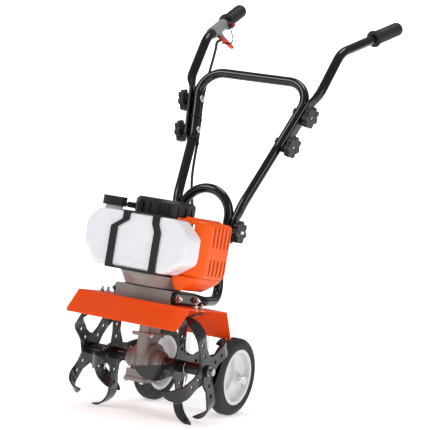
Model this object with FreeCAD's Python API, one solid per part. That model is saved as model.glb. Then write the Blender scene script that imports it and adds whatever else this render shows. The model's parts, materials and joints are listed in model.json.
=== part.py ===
import FreeCAD, Part
import math
import os

# Mini cultivator. Millimetres, +Z up.
# The machine is drawn in its own frame: the gearbox column is vertical, Y = 0 is the
# tine axis, -Y is the fuel tank side and +Y the handle side, and Z = 0 is under the wheels.
# At the end everything is leaned back until wheels and tine tips stand on one floor.

V = FreeCAD.Vector

# Driving dimensions
WHEEL_RADIUS = 89.0
WHEEL_WIDTH = 38.0
WHEEL_TRACK = 196.0
WHEEL_Y = 224.0
AXLE_RADIUS = 6.0
TINE_RADIUS = 124.0
TINE_AXIS_Z = 107.0
TINE_THICKNESS = 4.0
BLADE_BEND = 44.0
BLADE_REAR = 15.0
TINE_SHAFT_RADIUS = 10.0
TINE_SHAFT_HALF = 168.0
TINE_END_RADIUS = 8.0
TINE_HUB_END = 158.0
OUTER_TINE_X = 150.0
INNER_TINE_X = 84.0
PIN_X = 104.0
PIN_RADIUS = 2.9
CRANK_Y = -30.0
WORM_RADIUS = 8.0
BLOCK_HALF_X = 70.0
BLOCK_FRONT_Y = -68.0
BLOCK_REAR_Y = 47.0
BLOCK_BOTTOM_Z = 238.0
BLOCK_TOP_Z = 267.0
FENDER_HALF_X = 141.0
SHEET = 2.0
HOUSING_TOP_Z = 296.0
CYLINDER_Z = 362.0
TANK_HALF_X = 128.0
TANK_FRONT_Y = -142.0
TANK_REAR_Y = -76.0
TANK_BOTTOM_Z = 302.0
TANK_TOP_Z = 423.0
STRAP_X = 54.0
CAP_X = -86.0
CAP_Y = -104.0
TUBE_RADIUS = 11.0
TUBE_WALL = 1.6
FLAT_THICKNESS = 8.0
FLAT_WIDTH = 28.0
LOOP_HALF_X = 61.0
LOOP_Y = 155.0
LOOP_ARC_Z = 443.0
PIVOT_Z = 416.0
PIVOT_BOLT_RADIUS = 4.0
GRIP_RADIUS = 16.5
GRIP_LENGTH = 100.0
KNOB_RADIUS = 26.0
CABLE_RADIUS = 3.5
GAP = 0.3

# Right-hand centre lines of the tubes; the left-hand ones are mirror images
FRAME_FOOT = V(LOOP_HALF_X + TUBE_RADIUS + GAP + FLAT_THICKNESS / 2, LOOP_Y - 1, 390)
FRAME_KNEE = V(85, 169, 496)
FRAME_MID = V(111, 241, 620)
FRAME_CORNER = V(152, 300, 778)
BAR_BEND = V(178, 352, 863)
BAR_END = V(214, 561, 955)
LOWER_KNOB_Z = 634.0
UPPER_KNOB_Z = 708.0
BAR_FLAT_START_Z = 616.0
BAR_FLAT_END_Z = 747.0
BAR_GAP = 0.6

# Standing on wheels and tines: the common tangent of both circles is the floor
AXLE_DISTANCE = math.hypot(WHEEL_Y, TINE_AXIS_Z - WHEEL_RADIUS)
LEAN = math.asin((TINE_RADIUS - WHEEL_RADIUS) / AXLE_DISTANCE) - math.atan(
    (TINE_AXIS_Z - WHEEL_RADIUS) / WHEEL_Y)
# The inner stars stand on the rear corner of one blade
STANDING_PHASE = math.degrees(LEAN + math.atan(BLADE_REAR / TINE_RADIUS))
CENTRE_Y = 254.68
FLOOR_DROP = TINE_AXIS_Z * math.cos(LEAN) - TINE_RADIUS


def box(x0, x1, y0, y1, z0, z1):
    return Part.makeBox(x1 - x0, y1 - y0, z1 - z0, V(x0, y0, z0))


def rod(radius, start, end):
    axis = end - start
    return Part.makeCylinder(radius, axis.Length, start, axis)


def ring(outer, inner, start, end):
    return rod(outer, start, end).cut(rod(inner, start, end))


def cone(r0, r1, start, end):
    axis = end - start
    return Part.makeCone(r0, r1, axis.Length, start, axis)


def mirror(shape):
    return shape.mirror(V(0, 0, 0), V(1, 0, 0))


def mirrored(point):
    return V(-point.x, point.y, point.z)


def fuse(shapes):
    result = shapes[0]
    for shape in shapes[1:]:
        result = result.fuse(shape)
    return result.removeSplitter()


def group(shapes):
    solids = []
    for shape in shapes:
        solids.extend(shape.Solids)
    return Part.makeCompound(solids)


def unit(vector):
    return V(vector).normalize()


def along(start, end, z):
    """The point of a line that has height z."""
    return start + (end - start) * ((z - start.z) / (end.z - start.z))


def rounded_wire(points, radii):
    """Straight runs joined by tangent arcs, one radius for each inner point."""
    edges = []
    last = points[0]
    for before, corner, after, radius in zip(points, points[1:], points[2:], radii):
        to_before = unit(before - corner)
        to_after = unit(after - corner)
        half = to_before.getAngle(to_after) / 2
        setback = radius / math.tan(half)
        start = corner + to_before * setback
        end = corner + to_after * setback
        bisector = unit(to_before + to_after)
        middle = corner + bisector * (radius / math.sin(half) - radius)
        edges.append(Part.LineSegment(last, start).toShape())
        edges.append(Part.Arc(start, middle, end).toShape())
        last = end
    edges.append(Part.LineSegment(last, points[-1]).toShape())
    return Part.Wire(edges)


def sweep(points, radii, radius):
    path = rounded_wire(points, radii)
    section = Part.Wire(Part.makeCircle(radius, points[0], points[1] - points[0]))
    return path.makePipeShell([section], True, False)


def pipe(points, radii, outer, wall):
    return sweep(points, radii, outer).cut(sweep(points, radii, outer - wall))


def flat_bar(start, end, thin, thickness, width):
    """A flattened tube end: long from start to end, thin along the vector thin."""
    axis = end - start
    length = axis.Length
    half = width / 2 - thickness / 2
    bar = box(-thickness / 2, thickness / 2, -half, half, 0, length)
    for side in (-half, half):
        bar = bar.fuse(rod(thickness / 2, V(0, side, 0), V(0, side, length)))
    z_axis = unit(axis)
    x_axis = unit(thin - z_axis * thin.dot(z_axis))
    y_axis = z_axis.cross(x_axis)
    turn = FreeCAD.Rotation(x_axis, y_axis, z_axis, "ZXY")
    bar = bar.removeSplitter()
    bar.Placement = FreeCAD.Placement(start, turn)
    return bar


# Leg direction, and the direction square to it in the plane of the frame
LEG = unit(FRAME_CORNER - FRAME_MID)
LEG_OUT = unit(V(1, 0, 0) - LEG * LEG.x)
FLAT_OFFSET = TUBE_RADIUS + BAR_GAP + FLAT_THICKNESS / 2
KNOB_FACE = TUBE_RADIUS + BAR_GAP + FLAT_THICKNESS + 1


# ---- gearbox and tines ----

def gear_case_body():
    worm_tube = rod(14, V(0, CRANK_Y, 66), V(0, CRANK_Y, BLOCK_BOTTOM_Z))
    web = box(-13, 13, CRANK_Y, 14, 120, BLOCK_BOTTOM_Z)
    drum = rod(38, V(-22, 0, TINE_AXIS_Z), V(22, 0, TINE_AXIS_Z))
    foot = box(-22, 22, CRANK_Y - 18, 16, 66, 84)
    barrel = rod(23, V(-40, 0, TINE_AXIS_Z), V(40, 0, TINE_AXIS_Z))
    collar = rod(19, V(-46, 0, TINE_AXIS_Z), V(46, 0, TINE_AXIS_Z))
    flange = box(-20, 20, CRANK_Y - 16, 20, 158, 166)
    block = box(-BLOCK_HALF_X, BLOCK_HALF_X, BLOCK_FRONT_Y, BLOCK_REAR_Y,
                BLOCK_BOTTOM_Z, BLOCK_TOP_Z)
    body = fuse([worm_tube, web, drum, foot, barrel, collar, flange, block])
    worm_bore = rod(WORM_RADIUS + 1.5, V(0, CRANK_Y, 60), V(0, CRANK_Y, BLOCK_TOP_Z + 1))
    wheel_room = rod(32, V(-16, 0, TINE_AXIS_Z), V(16, 0, TINE_AXIS_Z))
    bearing_room = rod(17, V(-34, 0, TINE_AXIS_Z), V(34, 0, TINE_AXIS_Z))
    shaft_bore = rod(TINE_SHAFT_RADIUS + 0.05, V(-50, 0, TINE_AXIS_Z), V(50, 0, TINE_AXIS_Z))
    for room in (worm_bore, wheel_room, bearing_room, shaft_bore):
        body = body.cut(room)
    for x in (-44, 44):
        for y in (BLOCK_FRONT_Y + 14, BLOCK_REAR_Y - 14):
            body = body.cut(rod(3, V(x, y, BLOCK_BOTTOM_Z - 1), V(x, y, BLOCK_TOP_Z + 1)))
    return body


def gear_case_halves():
    body = gear_case_body()
    right = body.common(box(0.05, 100, -100, 100, 0, 300))
    left = body.common(box(-100, -0.05, -100, 100, 0, 300))
    return left, right


def gear_case_cover():
    plate = box(-26, 26, CRANK_Y - 22, 18, 58, 66)
    corners = [edge for edge in plate.Edges if abs(edge.tangentAt(0).z) > 0.9]
    plate = plate.makeFillet(7, corners)
    return plate.cut(rod(5.2, V(0, CRANK_Y, 62), V(0, CRANK_Y, 67)))


def gear_case_bolts():
    bolts = []
    for x in (-19, 19):
        for y in (CRANK_Y - 15, 11):
            bolts.append(rod(4.5, V(x, y, 54), V(x, y, 58)))
    for y in (CRANK_Y - 11, 16):
        bolts.append(rod(4, V(20, y, 162), V(25, y, 162)))
        bolts.append(rod(4, V(-25, y, 162), V(-20, y, 162)))
    return group(bolts)


def worm_shaft():
    core = rod(5, V(0, CRANK_Y, 63), V(0, CRANK_Y, 281))
    worm = rod(WORM_RADIUS, V(0, CRANK_Y, 84), V(0, CRANK_Y, 130))
    bearing = rod(WORM_RADIUS + 1.45, V(0, CRANK_Y, 180), V(0, CRANK_Y, 192))
    return fuse([core, worm, bearing])


def worm_wheel():
    radius = -CRANK_Y - WORM_RADIUS - 0.4
    wheel = ring(radius, TINE_SHAFT_RADIUS, V(-9, 0, TINE_AXIS_Z), V(9, 0, TINE_AXIS_Z))
    teeth = 30
    for index in range(teeth):
        turn = 360.0 * index / teeth
        notch = box(-10, 10, -1, 1, radius - 2.5, radius + 2)
        notch.translate(V(0, 0, TINE_AXIS_Z))
        notch.rotate(V(0, 0, TINE_AXIS_Z), V(1, 0, 0), turn)
        wheel = wheel.cut(notch)
    return wheel


def pin_bore(side):
    x = side * PIN_X
    return rod(PIN_RADIUS + 0.1, V(x, 0, TINE_AXIS_Z - 20), V(x, 0, TINE_AXIS_Z + 20))


def tine_shaft():
    half = TINE_SHAFT_HALF
    inner = TINE_HUB_END
    ends = rod(TINE_END_RADIUS, V(-half, 0, TINE_AXIS_Z), V(half, 0, TINE_AXIS_Z))
    middle = rod(TINE_SHAFT_RADIUS, V(-inner, 0, TINE_AXIS_Z), V(inner, 0, TINE_AXIS_Z))
    return fuse([ends, middle]).cut(pin_bore(-1)).cut(pin_bore(1))


def tine_bearings():
    rings = []
    for x in (-33.9, 21):
        rings.append(ring(16.9, TINE_SHAFT_RADIUS + 0.05,
                          V(x, 0, TINE_AXIS_Z), V(x + 12.9, 0, TINE_AXIS_Z)))
    return group(rings)


def tine_hub(side):
    inner = side * 50
    outer = side * TINE_HUB_END
    tube = ring(13.5, TINE_SHAFT_RADIUS, V(inner, 0, TINE_AXIS_Z), V(outer, 0, TINE_AXIS_Z))
    return tube.cut(pin_bore(side))


def tine_arm(inward):
    """One arm pointing up, with its blade curved sideways to a narrow tip."""
    half = TINE_THICKNESS / 2
    arm = Part.Face(Part.makePolygon([
        V(half, -21, 20), V(half, -15, 50), V(half, -16, 79), V(half, 17, 79),
        V(half, 14, 50), V(half, 21, 20), V(half, -21, 20)])).extrude(V(-TINE_THICKNESS, 0, 0))
    reach = math.sqrt(TINE_RADIUS ** 2 - BLADE_REAR ** 2)
    bend_centre = V(inward * BLADE_BEND, 0, reach - BLADE_BEND - 0.5)
    band = ring(BLADE_BEND + half, BLADE_BEND - half,
                bend_centre + V(0, -30, 0), bend_centre + V(0, 30, 0))
    outline = [V(-inward * (half + 1), -16, 0), V(inward * 4, -16, 0), V(inward * 16, -12, 0),
               V(inward * 28, -5, 0), V(inward * 38, 4, 0), V(inward * BLADE_BEND, 12, 0),
               V(inward * BLADE_BEND, BLADE_REAR, 0), V(inward * 30, 17.5, 0),
               V(inward * 12, 18.5, 0), V(-inward * (half + 1), 17, 0)]
    sickle = Part.Face(Part.makePolygon(outline + [outline[0]]))
    sickle.translate(V(0, 0, bend_centre.z))
    sickle = sickle.extrude(V(0, 0, reach - bend_centre.z))
    return fuse([arm, band.common(sickle)])


def tine_star(x, bends, phase):
    half = TINE_THICKNESS / 2
    centre = rod(34, V(-half, 0, 0), V(half, 0, 0))
    arms = [tine_turned(bend, phase + 90 * index) for index, bend in enumerate(bends)]
    star = fuse([centre] + arms)
    star = star.cut(rod(13.5, V(-10, 0, 0), V(10, 0, 0)))
    for index in range(4):
        angle = math.radians(phase + 90 * index)
        for reach in (38, 66):
            spot = V(0, -reach * math.sin(angle), reach * math.cos(angle))
            star = star.cut(rod(5, spot + V(-5, 0, 0), spot + V(5, 0, 0)))
    star.translate(V(x, 0, TINE_AXIS_Z))
    return star


def tine_turned(inward, angle):
    arm = tine_arm(inward)
    arm.rotate(V(0, 0, 0), V(1, 0, 0), angle)
    return arm


def tines(side, outer_phase):
    """Outer blades all bend inward; inner blades bend outward and inward in turn."""
    outer = tine_star(side * OUTER_TINE_X, [-side] * 4, outer_phase)
    inner = tine_star(side * INNER_TINE_X, [side, -side, side, -side], STANDING_PHASE)
    return group([outer, inner])


def hitch_pins():
    pins = []
    for side in (-1, 1):
        x = side * PIN_X
        pin = rod(PIN_RADIUS, V(x, 0, TINE_AXIS_Z - 22), V(x, 0, TINE_AXIS_Z + 18))
        loop = Part.makeTorus(7, 1.3, V(x, 0, TINE_AXIS_Z - 29), V(1, 0, 0))
        pins.append(fuse([pin, loop]))
    return group(pins)


# ---- engine ----

def clutch_housing():
    outer = cone(62, 76, V(0, CRANK_Y, BLOCK_TOP_Z + 3), V(0, CRANK_Y, HOUSING_TOP_Z))
    room = rod(46, V(0, CRANK_Y, BLOCK_TOP_Z + 6), V(0, CRANK_Y, HOUSING_TOP_Z + 1))
    hole = rod(6, V(0, CRANK_Y, BLOCK_TOP_Z), V(0, CRANK_Y, BLOCK_TOP_Z + 7))
    keep = box(-80, 80, -100, 36, 200, 400)
    return outer.cut(room).cut(hole).common(keep)


def clutch_gasket():
    return ring(61, 12, V(0, CRANK_Y, BLOCK_TOP_Z), V(0, CRANK_Y, BLOCK_TOP_Z + 3))


def clutch_drum():
    outer = rod(39, V(0, CRANK_Y, 275), V(0, CRANK_Y, 294))
    room = rod(36, V(0, CRANK_Y, 278), V(0, CRANK_Y, 295))
    bore = rod(5, V(0, CRANK_Y, 270), V(0, CRANK_Y, 281))
    return outer.cut(room).cut(bore)


def crankcase():
    lower = rod(60, V(0, CRANK_Y, HOUSING_TOP_Z), V(0, CRANK_Y, 304))
    middle = rod(39, V(0, CRANK_Y, 304), V(0, CRANK_Y, 392))
    plate = rod(62, V(0, CRANK_Y, 388), V(0, CRANK_Y, 394))
    neck = box(0, 42, CRANK_Y - 27, CRANK_Y + 27, CYLINDER_Z - 27, CYLINDER_Z + 25)
    body = fuse([lower, middle, plate, neck])
    keep = box(-70, 70, TANK_REAR_Y + 2, 60, 200, 500)
    room = rod(31, V(0, CRANK_Y, 326), V(0, CRANK_Y, 384))
    bore = rod(7.05, V(0, CRANK_Y, 290), V(0, CRANK_Y, 400))
    mouth = rod(20, V(20, CRANK_Y, CYLINDER_Z), V(43, CRANK_Y, CYLINDER_Z))
    return body.common(keep).cut(room).cut(bore).cut(mouth)


def crankshaft():
    journal_low = rod(7, V(0, CRANK_Y, 283), V(0, CRANK_Y, 352))
    journal_top = rod(7, V(0, CRANK_Y, 372), V(0, CRANK_Y, 418))
    webs = [rod(25, V(0, CRANK_Y, 338), V(0, CRANK_Y, 350)),
            rod(25, V(0, CRANK_Y, 366), V(0, CRANK_Y, 378))]
    pin = rod(6, V(14, CRANK_Y, 345), V(14, CRANK_Y, 370))
    clutch = rod(34, V(0, CRANK_Y, 283), V(0, CRANK_Y, 292))
    big_end = ring(9.5, 6, V(14, CRANK_Y, 351), V(14, CRANK_Y, 365))
    return fuse([journal_low, journal_top, pin, clutch, big_end] + webs)


def connecting_rod():
    y = CRANK_Y
    bar = box(25, 58, y - 4, y + 4, CYLINDER_Z - 8, CYLINDER_Z - 1)
    eye = ring(7, 4.05, V(62, y, CYLINDER_Z - 9), V(62, y, CYLINDER_Z + 1))
    return fuse([bar, eye])


def piston():
    y = CRANK_Y
    skirt = rod(19.6, V(50, y, CYLINDER_Z), V(84, y, CYLINDER_Z))
    room = rod(16, V(49, y, CYLINDER_Z), V(76, y, CYLINDER_Z))
    pin = rod(4, V(62, y, CYLINDER_Z - 17), V(62, y, CYLINDER_Z + 17))
    return fuse([skirt.cut(room), pin])


def cylinder():
    y = CRANK_Y
    barrel = rod(26, V(42.1, y, CYLINDER_Z), V(108, y, CYLINDER_Z))
    fins = []
    for index in range(9):
        x = 54 + index * 6
        fins.append(box(x, x + 2, y - 38, y + 36, CYLINDER_Z - 38, CYLINDER_Z + 25))
    bore = rod(19.65, V(42, y, CYLINDER_Z), V(98, y, CYLINDER_Z))
    plug_hole = rod(6, V(90, y, CYLINDER_Z), V(120, y, CYLINDER_Z))
    return fuse([barrel] + fins).cut(bore).cut(plug_hole)


def spark_plug():
    y = CRANK_Y
    thread = rod(5.9, V(96, y, CYLINDER_Z), V(108, y, CYLINDER_Z))
    hexagon = rod(9, V(108, y, CYLINDER_Z), V(113, y, CYLINDER_Z))
    boot = rod(8, V(113, y, CYLINDER_Z), V(124, y, CYLINDER_Z))
    return fuse([thread, hexagon, boot])


def flywheel():
    disc = rod(44, V(0, CRANK_Y, 397), V(0, CRANK_Y, 402))
    hub = rod(16, V(0, CRANK_Y, 402), V(0, CRANK_Y, 412))
    vanes = []
    for index in range(12):
        vane = box(20, 43, -1, 1, 402, 410)
        vane.rotate(V(0, 0, 0), V(0, 0, 1), 30 * index)
        vane.translate(V(0, CRANK_Y, 0))
        vanes.append(vane)
    bore = rod(7, V(0, CRANK_Y, 390), V(0, CRANK_Y, 415))
    return fuse([disc, hub] + vanes).cut(bore)


def muffler():
    can = box(56, 108, 10, 52, 334, 392)
    can = can.makeFillet(8, can.Edges)
    outlet = rod(7, V(82, 50, 352), V(82, 66, 352))
    return fuse([can, outlet])


def shroud_outline(inset, inner_x):
    """A box whose outer side is rounded, most of all at its lower edge."""
    body = box(inner_x, 134 - inset, -78 + inset, 64 - inset, 298 + inset, 428 - inset)
    upright = [e for e in body.Edges if abs(e.tangentAt(0).z) > 0.9 and e.CenterOfMass.x > 100]
    body = body.makeFillet(30 - inset, upright)
    low = [e for e in body.Edges if e.CenterOfMass.z < 299 + inset and e.CenterOfMass.x > 60]
    body = body.makeFillet(24 - inset, low)
    high = [e for e in body.Edges if e.CenterOfMass.z > 427 - inset and e.CenterOfMass.x > 60]
    return body.makeFillet(10 - inset, high)


def engine_shroud():
    outer = shroud_outline(0, 58)
    ledge = box(67, 106, -58, 44, 420, 433)
    ledge = ledge.makeChamfer(4, [e for e in ledge.Edges if e.CenterOfMass.z > 432])
    room = shroud_outline(3, 50)
    shell = outer.fuse(ledge).cut(room).cut(box(50, 140, -60, 50, 290, 305))
    for index in range(5):
        y = -36 + index * 17
        shell = shell.cut(box(120, 140, y, y + 6, 374, 420))
        shell = shell.cut(box(120, 140, y, y + 6, 312, 348))
    shell = shell.cut(box(62, 104, 55, 70, 336, 390))
    clear = rod(77, V(0, CRANK_Y, HOUSING_TOP_Z - 5), V(0, CRANK_Y, 304))
    tank_side = box(50, TANK_HALF_X + 1, -90, TANK_REAR_Y + 1, 290, 440)
    return shell.cut(clear).cut(tank_side)


def starter_housing():
    y = CRANK_Y
    drum = rod(66, V(0, y, 396), V(0, y, 462))
    lid_edges = [e for e in drum.Edges if e.CenterOfMass.z > 461]
    drum = drum.makeChamfer(7, lid_edges)
    room = rod(59, V(0, y, 395), V(0, y, 456))
    post = rod(6, V(0, y, 426), V(0, y, 458))
    drum = fuse([drum.cut(room), post])
    for index in range(20):
        groove = box(63, 68, -3, 3, 426, 450)
        groove.rotate(V(0, 0, 0), V(0, 0, 1), 18 * index)
        groove.translate(V(0, y, 0))
        drum = drum.cut(groove)
    rope_hole = rod(5, V(-80, y, 438), V(-50, y, 438))
    shroud_side = box(57.5, 80, -120, 80, 390, 428.5)
    tank_side = box(-80, 80, -120, TANK_REAR_Y + 0.5, 390, TANK_TOP_Z + 1)
    return drum.cut(rope_hole).cut(shroud_side).cut(tank_side)


def starter_pulley():
    y = CRANK_Y
    low = rod(34, V(0, y, 428), V(0, y, 432))
    drum = rod(26, V(0, y, 432), V(0, y, 444))
    top = rod(34, V(0, y, 444), V(0, y, 448))
    return fuse([low, drum, top]).cut(rod(6.05, V(0, y, 420), V(0, y, 450)))


def starter_grip():
    y = CRANK_Y
    stem = rod(4.6, V(-72, y, 438), V(-66.6, y, 438))
    bar = rod(6.5, V(-79, y - 24, 438), V(-79, y + 24, 438))
    neck = rod(7, V(-79, y, 438), V(-72, y, 438))
    return fuse([stem, bar, neck])


def carburettor():
    body = box(-74, -40, -14, 14, 344, 376)
    flange = box(-44, -38, -20, 12, 340, 380)
    body = fuse([body, rod(6, V(-60, 0, 376), V(-60, 0, 384)), flange])
    body = body.cut(rod(40, V(0, CRANK_Y, 300), V(0, CRANK_Y, 392)))
    return body.cut(rod(9, V(-80, -2, 360), V(-50, -2, 360)))


def air_filter_cover():
    shell = box(-112, -74.2, -34, 52, 318, 392)
    corners = [e for e in shell.Edges if e.CenterOfMass.x < -100]
    shell = shell.makeFillet(9, corners)
    return shell.cut(box(-108, -74, -30, 48, 322, 388))


# ---- fuel ----

def tank_solid(inset):
    """An eight-sided tank with soft upright corners."""
    half = TANK_HALF_X - inset
    low = TANK_BOTTOM_Z + inset
    high = TANK_TOP_Z - inset
    front = TANK_FRONT_Y + inset
    rear = TANK_REAR_Y - inset
    outline = [V(-half + 34, 0, low), V(half - 46, 0, low), V(half, 0, low + 30),
               V(half, 0, high - 34), V(half - 36, 0, high), V(-half + 26, 0, high),
               V(-half, 0, high - 30), V(-half, 0, low + 44), V(-half + 34, 0, low)]
    face = Part.Face(Part.makePolygon(outline))
    face.translate(V(0, front, 0))
    body = face.extrude(V(0, rear - front, 0))
    long_edges = [e for e in body.Edges if abs(e.tangentAt(0).y) > 0.9]
    body = body.makeFillet(12 - inset, long_edges)
    rims = [e for e in body.Edges if e.CenterOfMass.y < front + 1]
    return body.makeFillet(15 - inset, rims)


def fuel_tank():
    outer = tank_solid(0)
    neck = rod(19, V(CAP_X, CAP_Y, TANK_TOP_Z - 8), V(CAP_X, CAP_Y, TANK_TOP_Z + 17))
    room = tank_solid(2.5)
    mouth = rod(16, V(CAP_X, CAP_Y, TANK_TOP_Z - 9), V(CAP_X, CAP_Y, TANK_TOP_Z + 18))
    return fuse([outer, neck]).cut(room).cut(mouth)


def fuel_cap():
    base = V(CAP_X, CAP_Y, TANK_TOP_Z + 8.5)
    top = V(CAP_X, CAP_Y, TANK_TOP_Z + 29)
    cap = rod(26, base, top)
    for index in range(30):
        rib = rod(0.9, base + V(26.3, 0, -1), top + V(26.3, 0, -4))
        rib.rotate(base, V(0, 0, 1), 12 * index)
        cap = cap.cut(rib)
    return cap.cut(rod(19.3, base - V(0, 0, 1), V(CAP_X, CAP_Y, TANK_TOP_Z + 17.3)))


def strap(shift, jog):
    """A strap over the front of the tank that steps sideways near its top."""
    y_outer = TANK_FRONT_Y - 3.5
    low = TANK_BOTTOM_Z - 3.5
    high = TANK_TOP_Z + 3.5
    half = 8.5
    bend_low, bend_high = high - 38, high - 20
    outline = [V(shift - half, y_outer, low), V(shift + half, y_outer, low),
               V(shift + half, y_outer, bend_low), V(shift + jog + half, y_outer, bend_high),
               V(shift + jog + half, y_outer, high), V(shift + jog - half, y_outer, high),
               V(shift + jog - half, y_outer, bend_high), V(shift - half, y_outer, bend_low),
               V(shift - half, y_outer, low)]
    face = Part.Face(Part.makePolygon(outline))
    return face.extrude(V(0, 18, 0))


def tank_frame():
    low = TANK_BOTTOM_Z - 3.5
    high = TANK_TOP_Z
    rear = TANK_REAR_Y
    front = TANK_FRONT_Y - 3.5
    pieces = [strap(-STRAP_X, 26), strap(STRAP_X, -8)]
    for x in (-STRAP_X, STRAP_X):
        pieces.append(box(x - 8.5, x + 8.5, front, rear + 8, low, low + 3.2))
        pieces.append(box(x - 6, x + 6, rear + 0.5, rear + 8, low, HOUSING_TOP_Z + 8))
    pieces.append(box(-STRAP_X, STRAP_X, front, front + 12, low, low + 3.2))
    for x in (-STRAP_X + 26, STRAP_X - 8):
        pieces.append(box(x - 8.5, x + 8.5, front, rear, high + 0.3, high + 3.5))
    pieces.append(box(-STRAP_X + 26, STRAP_X - 8, front + 2, front + 10, high + 0.3, high + 3.5))
    body = fuse(pieces)
    keep_out = tank_solid(-GAP)
    body = body.cut(keep_out)
    for radius, z0, z1 in ((77, 260, HOUSING_TOP_Z), (60.3, 290, 304.3), (66.5, 395, 470)):
        body = body.cut(rod(radius, V(0, CRANK_Y, z0), V(0, CRANK_Y, z1)))
    return max(body.Solids, key=lambda solid: solid.Volume)


# ---- fender, wheels ----

def fender():
    front_low, front_top = V(0, -147, 189), V(0, -104, BLOCK_BOTTOM_Z)
    rear_top, rear_low = V(0, 69, BLOCK_BOTTOM_Z), V(0, 109, 178)
    panels = []
    for start, end in ((front_low, front_top), (front_top, rear_top), (rear_top, rear_low)):
        axis = unit(end - start)
        normal = V(0, axis.z, -axis.y) * SHEET
        shift = V(-FENDER_HALF_X, 0, 0)
        corners = [start + shift, end + shift, end + normal + shift, start + normal + shift]
        face = Part.Face(Part.makePolygon(corners + [corners[0]]))
        panels.append(face.extrude(V(2 * FENDER_HALF_X, 0, 0)))
    for fold in (front_top, rear_top):
        under = fold - V(0, 0, SHEET / 2)
        panels.append(rod(SHEET / 2, under - V(FENDER_HALF_X, 0, 0),
                          under + V(FENDER_HALF_X, 0, 0)))
    sheet = fuse(panels)
    for side in (-1, 1):
        sheet = sheet.cut(front_corner(side))
    window = box(-30, 30, CRANK_Y - 17, 24, BLOCK_BOTTOM_Z - 10, BLOCK_BOTTOM_Z + 5)
    sheet = sheet.cut(window)
    for x, y in fender_bolt_places():
        sheet = sheet.cut(rod(3.1, V(x, y, BLOCK_BOTTOM_Z - 10), V(x, y, BLOCK_BOTTOM_Z + 5)))
    return sheet


def front_corner(side):
    """What rounds the lower outer corner of the front panel."""
    radius = 13
    x = side * (FENDER_HALF_X - radius)
    outer = side * FENDER_HALF_X
    z = 187.5
    square = box(min(x, outer), max(x, outer) + 0.01, -160, -125, z - 3, z + radius - 3)
    return square.cut(rod(radius, V(x, -161, z + radius - 2), V(x, -124, z + radius - 2)))


def fender_bolt_places():
    return [(side * 120, y) for side in (-1, 1) for y in (-40, -14)]


def fender_bolts():
    bolts = []
    for x, y in fender_bolt_places():
        shank = rod(3, V(x, y, BLOCK_BOTTOM_Z - 5.5), V(x, y, BLOCK_BOTTOM_Z + 12))
        nut = rod(5.5, V(x, y, BLOCK_BOTTOM_Z), V(x, y, BLOCK_BOTTOM_Z + 5))
        under = rod(5.5, V(x, y, BLOCK_BOTTOM_Z - 5), V(x, y, BLOCK_BOTTOM_Z - SHEET))
        bolts.append(fuse([shank, nut, under]))
    return group(bolts)


def wheel_bracket():
    """A forked strut from the gearbox block back and down to the axle."""
    outline = [V(0, BLOCK_REAR_Y + 0.3, 262), V(0, 90, 262), V(0, 228, 182), V(0, 238, 86),
               V(0, 212, 78), V(0, 206, 162), V(0, 84, 241), V(0, BLOCK_REAR_Y + 0.3, 241)]
    face = Part.Face(Part.makePolygon(outline + [outline[0]]))
    sides = []
    for x in (-26, 23):
        plate = Part.Shape(face).extrude(V(3, 0, 0))
        plate.translate(V(x, 0, 0))
        sides.append(plate)
    bridge = box(-26, 26, 208, 232, 118, 121)
    back = box(-26, 26, BLOCK_REAR_Y + 0.3, BLOCK_REAR_Y + 3.3, 241, 262)
    body = fuse(sides + [bridge, back])
    hole = rod(AXLE_RADIUS, V(-40, WHEEL_Y, WHEEL_RADIUS), V(40, WHEEL_Y, WHEEL_RADIUS))
    return body.cut(hole)


def wheel_axle():
    half = WHEEL_TRACK / 2 + WHEEL_WIDTH / 2 + 12
    y, z = WHEEL_Y, WHEEL_RADIUS
    pieces = [rod(AXLE_RADIUS, V(-half, y, z), V(half, y, z))]
    for side in (-1, 1):
        face = side * (WHEEL_TRACK / 2 + WHEEL_WIDTH / 2 + 1)
        pieces.append(rod(10, V(face, y, z), V(face + side * 8, y, z)))
        inside = side * (WHEEL_TRACK / 2 - WHEEL_WIDTH / 2 - 1)
        pieces.append(rod(9, V(inside, y, z), V(inside - side * 6, y, z)))
    return fuse(pieces)


def wheel_rim():
    """A right-hand rim with three lobed recesses in its outer face."""
    y, z = WHEEL_Y, WHEEL_RADIUS
    x0 = WHEEL_TRACK / 2 - WHEEL_WIDTH / 2
    x1 = WHEEL_TRACK / 2 + WHEEL_WIDTH / 2
    rim = rod(64, V(x0 + 2, y, z), V(x1 - 2, y, z))
    rim = rim.cut(rod(56, V(x1 - 14, y, z), V(x1, y, z)))
    hub = rod(16, V(x1 - 15, y, z), V(x1, y, z))
    spokes = []
    for index in range(3):
        spoke = box(x1 - 15, x1 - 5, -9, 9, 0, 58)
        spoke.translate(V(0, y, z))
        spoke.rotate(V(0, y, z), V(1, 0, 0), 120 * index + 20)
        spokes.append(spoke)
    body = fuse([rim, hub] + spokes)
    back = ring(56, 20, V(x0 - 1, y, z), V(x0 + 18, y, z))
    bore = rod(AXLE_RADIUS + 0.05, V(x0 - 5, y, z), V(x1 + 5, y, z))
    return body.cut(back).cut(bore)


def tyre():
    y, z = WHEEL_Y, WHEEL_RADIUS
    x0 = WHEEL_TRACK / 2 - WHEEL_WIDTH / 2
    x1 = WHEEL_TRACK / 2 + WHEEL_WIDTH / 2
    body = ring(WHEEL_RADIUS, 64, V(x0, y, z), V(x1, y, z))
    shoulders = [e for e in body.Edges if e.Length > 2 * math.pi * (WHEEL_RADIUS - 1)]
    return body.makeFillet(9, shoulders)


# ---- handles ----

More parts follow.
